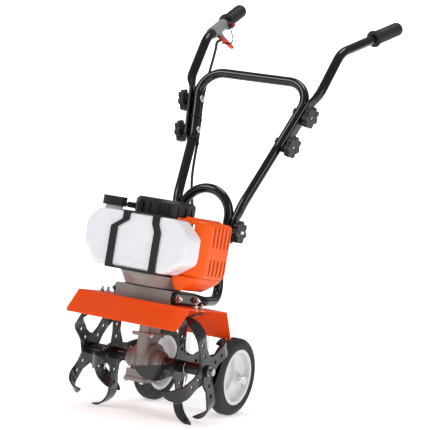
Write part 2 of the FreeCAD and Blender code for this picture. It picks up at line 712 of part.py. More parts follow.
def base_loop():
    """One tube bent to a loop, its two ends pressed flat against the gearbox block."""
    x = LOOP_HALF_X
    start = BLOCK_HALF_X + GAP + 3
    z = (BLOCK_BOTTOM_Z + BLOCK_TOP_Z) / 2
    arch_top = LOOP_ARC_Z + LOOP_HALF_X
    half = [V(start + 9, BLOCK_REAR_Y + 6, z), V(start - 4, LOOP_Y - 2, z + 2),
            V(x, LOOP_Y, z + 60), V(x, LOOP_Y, arch_top)]
    points = half + [mirrored(point) for point in reversed(half)]
    radii = [40, 120, x - 0.01, x - 0.01, 120, 40]
    loop = pipe(points, radii, TUBE_RADIUS, TUBE_WALL)
    for side in (-1, 1):
        plate = box(start - 3, start + 3, BLOCK_FRONT_Y, BLOCK_REAR_Y + 14, z - 14, z + 14)
        loop = loop.fuse(plate if side > 0 else mirror(plate))
    bolt_hole = rod(PIVOT_BOLT_RADIUS, V(-80, LOOP_Y, PIVOT_Z), V(80, LOOP_Y, PIVOT_Z))
    return loop.removeSplitter().cut(bolt_hole)


def loop_bolt_places():
    z = (BLOCK_BOTTOM_Z + BLOCK_TOP_Z) / 2
    return [(side, y, z) for side in (-1, 1) for y in (BLOCK_FRONT_Y + 18, BLOCK_REAR_Y - 14)]


def base_bolts():
    """The block bolts, and the two pivot bolts of the middle frame."""
    bolts = []
    for side, y, z in loop_bolt_places():
        x = side * (BLOCK_HALF_X + GAP + 6)
        washer = rod(8, V(x, y, z), V(x + side * 1.5, y, z))
        nut = rod(6.5, V(x + side * 1.5, y, z), V(x + side * 8, y, z))
        tip = rod(4, V(x + side * 8, y, z), V(x + side * 12, y, z))
        bolts.append(fuse([washer, nut, tip]))
    for side in (-1, 1):
        bolts.append(pivot_bolt(side))
    return group(bolts)


def pivot_bolt(side):
    y = LOOP_Y
    inside = side * (LOOP_HALF_X - TUBE_RADIUS)
    outside = side * (LOOP_HALF_X + TUBE_RADIUS + GAP + FLAT_THICKNESS + 20)
    head = rod(8, V(inside - side * 5, y, PIVOT_Z), V(inside, y, PIVOT_Z))
    shank = rod(PIVOT_BOLT_RADIUS, V(inside, y, PIVOT_Z), V(outside, y, PIVOT_Z))
    return fuse([head, shank])


def middle_frame():
    """The upside-down U, with flattened feet that turn on the pivot bolts."""
    knee_start = V(FRAME_KNEE.x, FRAME_FOOT.y + 8, FRAME_FOOT.z + 62)
    half = [knee_start, FRAME_KNEE, FRAME_MID, FRAME_CORNER]
    points = half + [mirrored(point) for point in reversed(half)]
    frame = pipe(points, [70, 160, 52, 52, 160, 70], TUBE_RADIUS, TUBE_WALL)
    foot_top = V(FRAME_FOOT.x, knee_start.y + 1, knee_start.z + 8)
    foot = flat_bar(FRAME_FOOT, foot_top, V(1, 0, 0), FLAT_THICKNESS, FLAT_WIDTH)
    frame = fuse([frame, foot, mirror(foot)])
    hole = rod(PIVOT_BOLT_RADIUS + 0.05, V(-120, LOOP_Y, PIVOT_Z), V(120, LOOP_Y, PIVOT_Z))
    frame = frame.cut(hole)
    for side in (-1, 1):
        for z in (LOWER_KNOB_Z, UPPER_KNOB_Z):
            frame = frame.cut(handle_bolt_line(side, z, 4.0, -20, 20))
    return frame


def handle_bolt_line(side, z, radius, near, far):
    place = along(FRAME_MID, FRAME_CORNER, z)
    line = rod(radius, place + LEG_OUT * near, place + LEG_OUT * far)
    return line if side > 0 else mirror(line)


def handle_bolts():
    bolts = []
    for side in (-1, 1):
        for z in (LOWER_KNOB_Z, UPPER_KNOB_Z):
            head = handle_bolt_line(side, z, 8, -TUBE_RADIUS - 4.5, -TUBE_RADIUS)
            shank = handle_bolt_line(side, z, 4, -TUBE_RADIUS - 1, KNOB_FACE + 18)
            bolts.append(fuse([head, shank]))
    return group(bolts)


def handlebar():
    """The right-hand bar: flat where it lies on the frame leg, then a round tube."""
    low = along(FRAME_MID, FRAME_CORNER, BAR_FLAT_START_Z) + LEG_OUT * FLAT_OFFSET
    high = along(FRAME_MID, FRAME_CORNER, BAR_FLAT_END_Z) + LEG_OUT * FLAT_OFFSET
    flat = flat_bar(low, high, LEG_OUT, FLAT_THICKNESS, FLAT_WIDTH)
    start = high + LEG_OUT * (TUBE_RADIUS - FLAT_THICKNESS / 2 + 0.2) - LEG * 10
    points = [start, start + LEG * 34, BAR_BEND, BAR_END]
    tube = pipe(points, [90, 62], TUBE_RADIUS, TUBE_WALL)
    bar = fuse([flat, tube])
    for z in (LOWER_KNOB_Z, UPPER_KNOB_Z):
        bar = bar.cut(handle_bolt_line(1, z, 4.0, 0, 30))
    return bar


def grip():
    axis = unit(BAR_END - BAR_BEND)
    start = BAR_END - axis * GRIP_LENGTH
    tip = BAR_END + axis * 5
    body = rod(GRIP_RADIUS, start, tip)
    rim = [e for e in body.Edges if (e.CenterOfMass - tip).Length < 1]
    body = body.makeFillet(4, rim)
    flange = rod(GRIP_RADIUS + 3.5, start, start + axis * 6)
    return fuse([body, flange]).cut(rod(TUBE_RADIUS, start - axis, BAR_END))


def star_knob(face, axis):
    """A hub, then a disc with seven lobes."""
    axis = unit(axis)
    disc_start = face + axis * 6
    disc_end = face + axis * 19
    hub = rod(11, face, disc_start)
    disc = rod(20, disc_start, disc_end)
    side = unit(axis.cross(V(0, 1, 0)))
    lobes = []
    for index in range(7):
        offset = FreeCAD.Rotation(axis, 360.0 / 7 * index).multVec(side) * (KNOB_RADIUS - 7)
        lobes.append(rod(7, disc_start + offset, disc_end + offset))
    return fuse([hub, disc] + lobes).cut(rod(4.05, face - axis, disc_end + axis))


def pivot_knob(side):
    face = V(side * (LOOP_HALF_X + TUBE_RADIUS + GAP + FLAT_THICKNESS + 1), LOOP_Y, PIVOT_Z)
    return star_knob(face, V(side, 0, 0))


def handle_knob(side, z):
    place = along(FRAME_MID, FRAME_CORNER, z)
    knob = star_knob(place + LEG_OUT * KNOB_FACE, LEG_OUT)
    return knob if side > 0 else mirror(knob)


# ---- throttle, on the left-hand bar ----

BAR_AXIS = unit(mirrored(BAR_END) - mirrored(BAR_BEND))
INWARD = unit(V(1, 0, 0) - BAR_AXIS * BAR_AXIS.x)
DOWN = unit(V(0, 0, -1) + BAR_AXIS * BAR_AXIS.z)
TRIGGER_SIDE = unit(DOWN + INWARD * 0.9)
TRIGGER_AXIS = unit(BAR_AXIS.cross(TRIGGER_SIDE))
THROTTLE_START = mirrored(BAR_BEND) + BAR_AXIS * 30
TRIGGER_PIVOT = THROTTLE_START + BAR_AXIS * 28 + TRIGGER_SIDE * 24


def throttle_housing():
    sleeve = ring(14, TUBE_RADIUS, THROTTLE_START, THROTTLE_START + BAR_AXIS * 78)
    lugs = []
    for offset in (-5.5, 3.5):
        base = THROTTLE_START + BAR_AXIS * 28 + TRIGGER_SIDE * 13 + TRIGGER_AXIS * offset
        lug = rod(9, base, base + TRIGGER_AXIS * 2)
        lugs.append(lug)
        lugs.append(rod(6, base + TRIGGER_SIDE * 11, base + TRIGGER_SIDE * 11 + TRIGGER_AXIS * 2))
    pin = rod(1.5, TRIGGER_PIVOT - TRIGGER_AXIS * 5.5, TRIGGER_PIVOT + TRIGGER_AXIS * 5.5)
    body = fuse([sleeve] + lugs + [pin])
    return body.cut(rod(TUBE_RADIUS, THROTTLE_START - BAR_AXIS, THROTTLE_START + BAR_AXIS * 80))


def lever_point(ahead, away):
    return TRIGGER_PIVOT + BAR_AXIS * ahead + TRIGGER_SIDE * away - TRIGGER_AXIS * 2.8


def throttle_trigger():
    outline = [lever_point(-11, -4), lever_point(-9, 9), lever_point(6, 14),
               lever_point(30, 24), lever_point(34, 20), lever_point(20, 8),
               lever_point(14, -4), lever_point(0, -7)]
    face = Part.Face(Part.makePolygon(outline + [outline[0]]))
    lever = face.extrude(TRIGGER_AXIS * 5.6)
    bore = rod(1.55, TRIGGER_PIVOT - TRIGGER_AXIS * 9, TRIGGER_PIVOT + TRIGGER_AXIS * 9)
    return lever.cut(bore)


def stop_switch():
    strap_start = THROTTLE_START + BAR_AXIS * 79
    strap_ring = ring(14.5, TUBE_RADIUS, strap_start, strap_start + BAR_AXIS * 7)
    body = rod(9, strap_start + BAR_AXIS * 3.5 + INWARD * 14.2,
               strap_start + BAR_AXIS * 3.5 + INWARD * 25)
    body = fuse([strap_ring, body])
    tube_room = rod(TUBE_RADIUS, strap_start - BAR_AXIS, strap_start + BAR_AXIS * 8)
    well = rod(5.05, switch_top() - INWARD * 6, switch_top() + INWARD)
    return body.cut(tube_room).cut(well)


def switch_top():
    return THROTTLE_START + BAR_AXIS * 82.5 + INWARD * 25


def stop_button():
    return rod(5, switch_top() - INWARD * 2, switch_top() + INWARD * 4)


def arc_radii(points):
    """Arcs as large as the two runs beside each point allow."""
    radii = []
    for before, corner, after in zip(points, points[1:], points[2:]):
        run = min((corner - before).Length, (after - corner).Length)
        turn = (corner - before).getAngle(after - corner)
        radii.append(0.45 * run / math.tan(turn / 2))
    return radii


UPPER_CABLE = [
    TRIGGER_PIVOT - BAR_AXIS * 13 + TRIGGER_SIDE * 2,
    TRIGGER_PIVOT - BAR_AXIS * 34 - TRIGGER_SIDE * 2,
    V(-157, 366, 842), V(-150, 345, 800), V(-142, 318, 752), V(-132, 296, 704),
    V(-117, 274, 656), V(-103, 253, 610), V(-90, 227, 566), V(-77, 205, 524),
    V(-62, 190, 484), V(-44, 173, 450), V(-32, 158, 423)]
LOWER_CABLE = [
    V(-29, 146, 409), V(-30, 112, 391), V(-42, 72, 376), V(-57, 44, 365),
    V(-57, 14.3, 365)]
STOP_WIRE = [
    switch_top() - INWARD * 6 - BAR_AXIS * 10,
    switch_top() - INWARD * 3 - BAR_AXIS * 24 + DOWN * 6,
    TRIGGER_PIVOT + BAR_AXIS * 2 + TRIGGER_SIDE * 22 + INWARD * 4,
    TRIGGER_PIVOT - BAR_AXIS * 17 + TRIGGER_SIDE * 9.5]


def cable(points, radius):
    radii = arc_radii(points)
    return sweep(points, radii, radius)


# ---- placing and writing ----

def stand_up(shape):
    """Lean the machine onto its wheels and tines and centre it on the floor."""
    placed = shape.copy()
    placed.rotate(V(0, 0, 0), V(1, 0, 0), -math.degrees(LEAN))
    placed.translate(V(0, -CENTRE_Y, -FLOOR_DROP))
    return placed


def build():
    left_case, right_case = gear_case_halves()
    rim = wheel_rim()
    rubber = tyre()
    bar = handlebar()
    handle_grip = grip()
    parts = {
        "gear_case_left": left_case,
        "gear_case_right": right_case,
        "gear_case_cover": gear_case_cover(),
        "gear_case_bolts": gear_case_bolts(),
        "worm_shaft": worm_shaft(),
        "worm_wheel": worm_wheel(),
        "tine_shaft": tine_shaft(),
        "tine_bearings": tine_bearings(),
        "tine_hubs": group([tine_hub(-1), tine_hub(1)]),
        "tines_left": tines(-1, STANDING_PHASE + 40),
        "tines_right": tines(1, STANDING_PHASE + 22),
        "hitch_pins": hitch_pins(),
        "clutch_housing": clutch_housing(),
        "clutch_gasket": clutch_gasket(),
        "clutch_drum": clutch_drum(),
        "crankcase": crankcase(),
        "crankshaft": crankshaft(),
        "connecting_rod": connecting_rod(),
        "piston": piston(),
        "cylinder": cylinder(),
        "spark_plug": spark_plug(),
        "flywheel": flywheel(),
        "muffler": muffler(),
        "engine_shroud": engine_shroud(),
        "starter_housing": starter_housing(),
        "starter_pulley": starter_pulley(),
        "starter_grip": starter_grip(),
        "carburettor": carburettor(),
        "air_filter_cover": air_filter_cover(),
        "fuel_tank": fuel_tank(),
        "fuel_cap": fuel_cap(),
        "tank_frame": tank_frame(),
        "fender": fender(),
        "fender_bolts": fender_bolts(),
        "wheel_bracket": wheel_bracket(),
        "wheel_axle": wheel_axle(),
        "rim_left": mirror(rim),
        "rim_right": rim,
        "tyre_left": mirror(rubber),
        "tyre_right": rubber,
        "base_loop": base_loop(),
        "base_bolts": base_bolts(),
        "middle_frame": middle_frame(),
        "handle_bolts": handle_bolts(),
        "handlebar_left": mirror(bar),
        "handlebar_right": bar,
        "grips": group([mirror(handle_grip), handle_grip]),
        "throttle_housing": throttle_housing(),
        "throttle_trigger": throttle_trigger(),
        "stop_switch": stop_switch(),
        "stop_button": stop_button(),
        "throttle_cable_upper": cable(UPPER_CABLE, CABLE_RADIUS),
        "throttle_cable_lower": cable(LOWER_CABLE, CABLE_RADIUS),
        "stop_wire": cable(STOP_WIRE, 1.2),
    }
    for side, label in ((-1, "left"), (1, "right")):
        parts["pivot_knob_" + label] = pivot_knob(side)
    return parts


def build_knobs():
    knobs = {}
    for side, label in ((-1, "left"), (1, "right")):
        knobs["lower_knob_" + label] = handle_knob(side, LOWER_KNOB_Z)
        knobs["upper_knob_" + label] = handle_knob(side, UPPER_KNOB_Z)
    return knobs


os.makedirs("parts", exist_ok=True)
nodes = build()
nodes.update(build_knobs())
for name, shape in nodes.items():
    stand_up(shape).exportStep("parts/" + name + ".step")
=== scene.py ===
import json
import math

import bmesh
import bpy
from mathutils import Matrix, Quaternion, Vector

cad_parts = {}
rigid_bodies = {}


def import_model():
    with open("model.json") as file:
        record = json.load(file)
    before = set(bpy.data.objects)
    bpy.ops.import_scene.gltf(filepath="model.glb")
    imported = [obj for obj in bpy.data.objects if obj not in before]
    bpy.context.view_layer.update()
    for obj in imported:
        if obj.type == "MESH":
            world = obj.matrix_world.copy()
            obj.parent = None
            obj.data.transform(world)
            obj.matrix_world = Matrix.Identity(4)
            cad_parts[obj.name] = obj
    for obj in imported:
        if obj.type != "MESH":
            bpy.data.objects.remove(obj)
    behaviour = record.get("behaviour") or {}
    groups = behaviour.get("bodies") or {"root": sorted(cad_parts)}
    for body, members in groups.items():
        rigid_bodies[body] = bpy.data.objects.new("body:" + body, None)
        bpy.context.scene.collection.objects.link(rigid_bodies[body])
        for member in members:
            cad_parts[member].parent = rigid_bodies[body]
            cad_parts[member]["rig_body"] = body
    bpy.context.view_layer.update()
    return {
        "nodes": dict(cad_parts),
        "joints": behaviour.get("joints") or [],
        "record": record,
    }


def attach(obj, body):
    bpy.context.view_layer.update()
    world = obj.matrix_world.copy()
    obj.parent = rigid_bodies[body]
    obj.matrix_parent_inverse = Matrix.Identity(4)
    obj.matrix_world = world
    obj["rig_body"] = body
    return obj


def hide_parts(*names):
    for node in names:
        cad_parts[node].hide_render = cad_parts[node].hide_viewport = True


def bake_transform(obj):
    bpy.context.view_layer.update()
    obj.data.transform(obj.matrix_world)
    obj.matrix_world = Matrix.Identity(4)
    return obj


# Mini cultivator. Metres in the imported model's frame. Places on the machine are given in
# millimetres in the machine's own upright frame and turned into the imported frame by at().

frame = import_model()
joints = {joint["name"]: joint for joint in frame["joints"]}
scene = bpy.context.scene


# ---- the machine's own frame ----

SIDEWAYS = Vector((1, 0, 0))
UP = Vector(joints["worm_spin"]["axis"])
BACK = UP.cross(SIDEWAYS)
TINE_AXIS_Z = 107.0
TINE_AXIS = Vector(joints["tine_spin"]["pos_m"])


def direction(x, y, z):
    return Vector((x, 0, 0)) + BACK * y + UP * z


def at(x, y, z):
    """A place on the upright machine, in mm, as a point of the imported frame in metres."""
    return TINE_AXIS + direction(x, y, z - TINE_AXIS_Z) / 1000


def mirrored(point):
    """The same place on the other side of the machine."""
    return Vector((-point.x, point.y, point.z))


def on_side(side, point):
    """A place given for the right side (1), or its mirror image on the left (-1)."""
    return point if side > 0 else mirrored(point)


# ---- camera ----

AZIMUTH = math.radians(28.03)
ROLL = math.radians(9.36)
DISTANCE = 4807.0              # mm from the target
TARGET = (108.27, 0, 445.95)   # mm on the upright machine
LENS = 183.9
SENSOR_WIDTH = 36
LEAST_TILT = 0.0005            # keeps the view from being exactly level


def make_camera():
    toward = Vector((math.sin(AZIMUTH), -math.cos(AZIMUTH), LEAST_TILT))
    right = Vector((math.cos(AZIMUTH), math.sin(AZIMUTH), 0))
    up = toward.cross(right)
    x_axis = right * math.cos(ROLL) + up * math.sin(ROLL)
    y_axis = up * math.cos(ROLL) - right * math.sin(ROLL)
    place = Vector(TARGET) + toward * DISTANCE
    data = bpy.data.cameras.new("camera")
    data.lens = LENS
    data.sensor_width = SENSOR_WIDTH
    data.clip_start = 0.05
    data.clip_end = 40
    camera = bpy.data.objects.new("camera", data)
    turn = Matrix([direction(*axis) for axis in (x_axis, y_axis, toward)]).transposed()
    camera.matrix_world = Matrix.Translation(at(*place)) @ turn.to_4x4()
    scene.collection.objects.link(camera)
    scene.camera = camera


make_camera()


# ---- floor and light ----

STAGE_RADIUS = 9.0
STAGE_SIDES = 96
FLOOR_Z = -0.0002
WALL_SHARE = 0.99     # the wall's radius, as a share of the floor's
WALL_TOP = 12


def make_stage():
    """A wide pale floor, and a far round wall that only the camera sees."""
    angles = [math.pi * k / (STAGE_SIDES / 2) for k in range(STAGE_SIDES)]
    ring = [(math.cos(a) * STAGE_RADIUS, math.sin(a) * STAGE_RADIUS) for a in angles]
    bm = bmesh.new()
    bm.faces.new([bm.verts.new((x, y, FLOOR_Z)) for x, y in ring])
    stage_piece("floor", bm, floor_material())
    bm = bmesh.new()
    low = [bm.verts.new((x * WALL_SHARE, y * WALL_SHARE, FLOOR_Z)) for x, y in ring]
    high = [bm.verts.new((x * WALL_SHARE, y * WALL_SHARE, WALL_TOP)) for x, y in ring]
    for index in range(STAGE_SIDES):
        after = (index + 1) % STAGE_SIDES
        bm.faces.new((low[after], low[index], high[index], high[after]))
    wall = stage_piece("wall", bm, wall_material())
    wall.visible_diffuse = False
    wall.visible_glossy = False
    wall.visible_transmission = False
    wall.visible_shadow = False


def stage_piece(name, bm, material):
    mesh = bpy.data.meshes.new(name)
    bm.to_mesh(mesh)
    bm.free()
    obj = bpy.data.objects.new(name, mesh)
    scene.collection.objects.link(obj)
    obj.data.materials.append(material)
    return obj


def wall_material():
    material = bpy.data.materials.new("wall_paper")
    material.use_nodes = True
    shader = material.node_tree.nodes["Principled BSDF"]
    shader.inputs["Base Color"].default_value = (0.9, 0.9, 0.9, 1)
    shader.inputs["Roughness"].default_value = 1
    shader.inputs["Emission Color"].default_value = (1, 1, 1, 1)
    shader.inputs["Emission Strength"].default_value = 1
    return material


def floor_material():
    """Pale paper with a painted glow that grows brighter away from the machine."""
    material = bpy.data.materials.new("floor_paper")
    material.use_nodes = True
    tree = material.node_tree
    shader = tree.nodes["Principled BSDF"]
    shader.inputs["Base Color"].default_value = (0.93, 0.93, 0.93, 1)
    shader.inputs["Roughness"].default_value = 0.9
    shader.inputs["Specular IOR Level"].default_value = 0.1
    shader.inputs["Emission Color"].default_value = (1, 1, 1, 1)
    place = tree.nodes.new("ShaderNodeTexCoord")
    distance = tree.nodes.new("ShaderNodeVectorMath")
    distance.operation = "LENGTH"
    # painted light: the floor's glow rises from half strength near the machine to full strength
    # far away
    glow = tree.nodes.new("ShaderNodeMapRange")
    for key, number in (("From Min", 0.6), ("From Max", 2.5), ("To Min", 0.5), ("To Max", 1.0)):
        glow.inputs[key].default_value = number
    tree.links.new(place.outputs["Object"], distance.inputs[0])
    tree.links.new(distance.outputs["Value"], glow.inputs["Value"])
    tree.links.new(glow.outputs["Result"], shader.inputs["Emission Strength"])
    return material


LIT_PLACE = Vector((0, 0, 0.4))
WORLD_STRENGTH = 0.34


def soft_light(name, place, size, energy):
    """An area light in watts that faces the machine."""
    data = bpy.data.lights.new(name, "AREA")
    data.shape = "RECTANGLE"
    data.size, data.size_y = size
    data.energy = energy
    light = bpy.data.objects.new(name, data)
    back = (Vector(place) - LIT_PLACE).normalized()
    turn = back.to_track_quat("Z", "Y").to_matrix().to_4x4()
    light.matrix_world = Matrix.Translation(place) @ turn
    scene.collection.objects.link(light)


def make_world():
    world = bpy.data.worlds.new("studio")
    world.use_nodes = True
    background = world.node_tree.nodes["Background"]
    background.inputs["Color"].default_value = (1, 1, 1, 1)
    background.inputs["Strength"].default_value = WORLD_STRENGTH
    scene.world = world
    scene.view_settings.view_transform = "Standard"


make_stage()
make_world()
soft_light("key", (-1.6, -2.2, 2.6), (1.3, 1.3), 34)
soft_light("side", (2.8, -0.9, 1.6), (0.7, 2.2), 22)
soft_light("top", (0.2, 0.4, 3.2), (1.2, 1.2), 22)


# ---- materials ----

COAT_ROUGHNESS = 0.06


class Paint:
    """A node material: broad and fine colour change, worn roughness and a bump."""

    def __init__(self, name, metallic=0.0, coat=0.0):
        self.material = bpy.data.materials.new(name)
        self.material.use_nodes = True
        self.tree = self.material.node_tree
        self.shader = self.tree.nodes["Principled BSDF"]
        self.shader.inputs["Metallic"].default_value = metallic
        self.shader.inputs["Coat Weight"].default_value = coat
        self.shader.inputs["Coat Roughness"].default_value = COAT_ROUGHNESS
        self.place = self.tree.nodes.new("ShaderNodeTexCoord").outputs["Object"]
        self.height = None

    def noise(self, scale, detail=4.0, stretch=None):
        node = self.tree.nodes.new("ShaderNodeTexNoise")
        node.inputs["Scale"].default_value = scale
        node.inputs["Detail"].default_value = detail
        source = self.place
        if stretch:
            mapping = self.tree.nodes.new("ShaderNodeMapping")
            mapping.inputs["Scale"].default_value = stretch
            self.tree.links.new(source, mapping.inputs["Vector"])
            source = mapping.outputs["Vector"]
        self.tree.links.new(source, node.inputs["Vector"])
        return node.outputs["Fac"]

    def spread(self, value, low, high, to_low=0.0, to_high=1.0):
        node = self.tree.nodes.new("ShaderNodeMapRange")
        for key, number in (("From Min", low), ("From Max", high),
                            ("To Min", to_low), ("To Max", to_high)):
            node.inputs[key].default_value = number
        self.tree.links.new(value, node.inputs["Value"])
        return node.outputs["Result"]

    def mix(self, mask, first, second):
        node = self.tree.nodes.new("ShaderNodeMix")
        node.data_type = "RGBA"
        self.tree.links.new(mask, node.inputs["Factor"])
        for socket, value in ((node.inputs[6], first), (node.inputs[7], second)):
            if isinstance(value, tuple):
                socket.default_value = (*value, 1)
            else:
                self.tree.links.new(value, socket)
        return node.outputs[2]

    def bump(self, value, strength, distance):
        node = self.tree.nodes.new("ShaderNodeBump")
        node.inputs["Strength"].default_value = strength
        node.inputs["Distance"].default_value = distance
        self.tree.links.new(value, node.inputs["Height"])
        if self.height:
            self.tree.links.new(self.height, node.inputs["Normal"])
        self.height = node.outputs["Normal"]

    def done(self, color, roughness):
        self.tree.links.new(color, self.shader.inputs["Base Color"])
        self.tree.links.new(roughness, self.shader.inputs["Roughness"])
        if self.height:
            self.tree.links.new(self.height, self.shader.inputs["Normal"])
        return self.material


def shade(color, factor):
    """A lighter or darker colour."""
    return tuple(min(1.0, channel * factor) for channel in color)


def paint(name, color, roughness, *, metallic=0.0, coat=0.0, broad=9.0, contrast=0.12,
          grain=900.0, grain_strength=0.12, grain_depth=0.0002, rough_change=0.25, dust=0.0,
          dust_color=(0.35, 0.31, 0.27), fleck=None, specular=0.4):
    """A finished surface: patches of lighter and darker colour, fine grain, uneven gloss, dust."""
    p = Paint(name, metallic, coat)
    p.shader.inputs["Specular IOR Level"].default_value = specular
    patches = p.spread(p.noise(broad, 6), 0.3, 0.7)
    tone = p.mix(patches, shade(color, 1 - contrast), shade(color, 1 + contrast))
    if fleck:
        specks = p.spread(p.noise(grain * 0.35, 2), 0.56, 0.7)
        tone = p.mix(specks, tone, fleck)
    if dust:
        settled = p.spread(p.noise(broad * 5, 8), 0.52, 0.78, 0, dust)
        tone = p.mix(settled, tone, dust_color)
    scuffs = p.spread(p.noise(broad * 3.1, 7), 0.25, 0.75,
                      roughness * (1 - rough_change), min(1, roughness * (1 + rough_change)))
    p.bump(p.noise(grain, 3), grain_strength, grain_depth)
    return p.done(tone, scuffs)


def brushed(name, color, roughness, stretch):
    """Bright metal with fine lines along one way."""
    p = Paint(name, metallic=1.0)
    lines = p.noise(60, 8, stretch)
    tone = p.mix(p.spread(lines, 0.3, 0.7), shade(color, 0.82), shade(color, 1.1))
    gloss = p.spread(lines, 0.3, 0.7, roughness * 0.7, roughness * 1.4)
    p.bump(lines, 0.08, 0.0002)
    return p.done(tone, gloss)


def make_slots():
    return {
        "cast_alloy": paint("cast_alloy", (0.33, 0.305, 0.29), 0.46, metallic=0.4, broad=14,
                            contrast=0.22, grain=1300, grain_strength=0.45, grain_depth=0.0004,
                            fleck=(0.38, 0.35, 0.33)),
        "zinc_steel": paint("zinc_steel", (0.72, 0.71, 0.68), 0.24, metallic=1.0, broad=60,
                            contrast=0.07, grain=1500, grain_strength=0.06, rough_change=0.25),
        "machined_steel": brushed("machined_steel", (0.5, 0.49, 0.48), 0.28, (1, 14, 14)),
        "bronze": brushed("bronze", (0.6, 0.4, 0.2), 0.3, (1, 9, 9)),
        "piston_alloy": brushed("piston_alloy", (0.7, 0.7, 0.7), 0.25, (1, 12, 12)),
        "black_paint": paint("black_paint", (0.012, 0.012, 0.013), 0.27, coat=0.2, broad=20,
                             contrast=0.3, grain=700, grain_strength=0.16, rough_change=0.4,
                             dust=0.08, dust_color=(0.07, 0.07, 0.075)),
        "gloss_black_tube": paint("gloss_black_tube", (0.004, 0.004, 0.0045), 0.13, coat=0.15,
                                  broad=16, contrast=0.3, grain=420, grain_strength=0.05,
                                  rough_change=0.4),
        "orange_sheet": paint("orange_sheet", (0.94, 0.076, 0.001), 0.36, specular=0.22, broad=5,
                              contrast=0.06, grain=520, grain_strength=0.1, rough_change=0.3),
        "orange_plastic": paint("orange_plastic", (1.0, 0.112, 0.001), 0.38, broad=7,
                                specular=0.25, contrast=0.05, grain=1900,
                                grain_strength=0.16),
        "trigger_plastic": paint("trigger_plastic", (0.9, 0.06, 0.012), 0.3, broad=30,
                                 contrast=0.06, grain=1900, grain_strength=0.12),
        "red_plastic": paint("red_plastic", (0.75, 0.01, 0.008), 0.28, broad=40, contrast=0.07,
                             grain=2200, grain_strength=0.1),
        "black_plastic": paint("black_plastic", (0.009, 0.009, 0.01), 0.4, broad=22,
                               contrast=0.25, grain=1500, grain_strength=0.3,
                               grain_depth=0.0003),
        "grey_plastic": paint("grey_plastic", (0.26, 0.26, 0.27), 0.42, broad=25, contrast=0.1,
                              grain=1500, grain_strength=0.25),
        "tank_plastic": tank_plastic(),
        "white_plastic": paint("white_plastic", (0.78, 0.78, 0.79), 0.36, broad=18,
                               contrast=0.04, grain=1200, grain_strength=0.12, dust=0.05),
        "tyre_rubber": paint("tyre_rubber", (0.022, 0.021, 0.021), 0.6, broad=15, contrast=0.25,
                             grain=650, grain_strength=0.3, dust=0.1,
                             dust_color=(0.09, 0.085, 0.08)),
        "grip_rubber": paint("grip_rubber", (0.012, 0.012, 0.012), 0.5, broad=30, contrast=0.25,
                             grain=1100, grain_strength=0.3),
        "gasket": paint("gasket", (0.01, 0.01, 0.01), 0.6, broad=30, contrast=0.3, grain=900,
                        grain_strength=0.3),
        "porcelain": paint("porcelain", (0.75, 0.74, 0.7), 0.12, coat=0.6, broad=20,
                           contrast=0.05, grain=300, grain_strength=0.04),
    }


def tank_plastic():
    """Translucent blow-moulded plastic, faintly clouded."""
    p = Paint("tank_plastic")
    cloud = p.spread(p.noise(7, 5), 0.3, 0.7)
    tone = p.mix(cloud, (0.81, 0.8, 0.85), (0.85, 0.845, 0.88))
    gloss = p.spread(p.noise(28, 6), 0.3, 0.7, 0.24, 0.4)
    p.shader.inputs["Subsurface Weight"].default_value = 0.35
    p.shader.inputs["Subsurface Radius"].default_value = (0.9, 0.85, 0.95)
    p.shader.inputs["Subsurface Scale"].default_value = 0.012
    p.bump(p.noise(45, 3), 0.06, 0.0008)
    p.bump(p.noise(1400, 2), 0.1, 0.0002)
    return p.done(tone, gloss)


slots = make_slots()
slot_of = {row["node"]: row["material_slot"] for row in frame["record"]["subparts"]}
for name, node in frame["nodes"].items():
    node.data.materials.clear()
    node.data.materials.append(slots[slot_of[name]])


# ---- making and finishing pieces ----

def finish_piece(obj, slot, body, *nodes):
    """Gives a piece its material and its body, and hides the CAD nodes it stands for."""
    obj.data.materials.clear()
    obj.data.materials.append(slots[slot])
    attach(obj, body)
    if nodes:
        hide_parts(*nodes)


def smooth_by_angle(obj, degrees):
    """Smooth shading, with edges sharper than the angle kept sharp."""
    bm = bmesh.new()
    bm.from_mesh(obj.data)
    limit = math.radians(degrees)
    for face in bm.faces:
        face.smooth = True
    for edge in bm.edges:
        edge.smooth = len(edge.link_faces) == 2 and edge.calc_face_angle() < limit
    bm.to_mesh(obj.data)
    bm.free()


def new_object(name, bm):
    """An object made of a finished bmesh, which is freed."""
    mesh = bpy.data.meshes.new(name)
    bm.normal_update()
    bm.to_mesh(mesh)
    bm.free()
    obj = bpy.data.objects.new(name, mesh)
    scene.collection.objects.link(obj)
    return obj


def make_piece(name, bm, degrees, slot, body, *nodes):
    """A piece that rides on one body, smooth but for edges sharper than the angle."""
    obj = new_object(name, bm)
    smooth_by_angle(obj, degrees)
    finish_piece(obj, slot, body, *nodes)
    return obj


def round_edges(obj, width, segments, degrees):
    bevel = obj.modifiers.new("edges", "BEVEL")
    bevel.width = width / 1000
    bevel.segments = segments
    bevel.limit_method = "ANGLE"
    bevel.angle_limit = math.radians(degrees)
    return bevel


WELD = 0.00002
FLAT_WITHIN = math.radians(0.6)
SHARP_DEGREES = 32


def refined(node, width, segments):
    """A copy of a CAD node with its flat faces joined up and its edges rounded."""
    bm = bmesh.new()
    bm.from_mesh(frame["nodes"][node].data)
    bmesh.ops.remove_doubles(bm, verts=bm.verts, dist=WELD)
    bmesh.ops.dissolve_limit(bm, angle_limit=FLAT_WITHIN, verts=bm.verts, edges=bm.edges)
    body = frame["nodes"][node]["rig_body"]
    obj = make_piece("detail_" + node, bm, SHARP_DEGREES, slot_of[node], body, node)
    if width:
        round_edges(obj, width, segments, SHARP_DEGREES).miter_outer = "MITER_ARC"


# ---- turned, swept and many-sided shapes ----

def square_to(axis):
    """Two unit vectors square to an axis and to each other."""
    axis = axis.normalized()
    seed = Vector((1, 0, 0)) if abs(axis.x) < 0.8 else Vector((0, 1, 0))
    side = axis.cross(seed).normalized()
    return side, axis.cross(side)


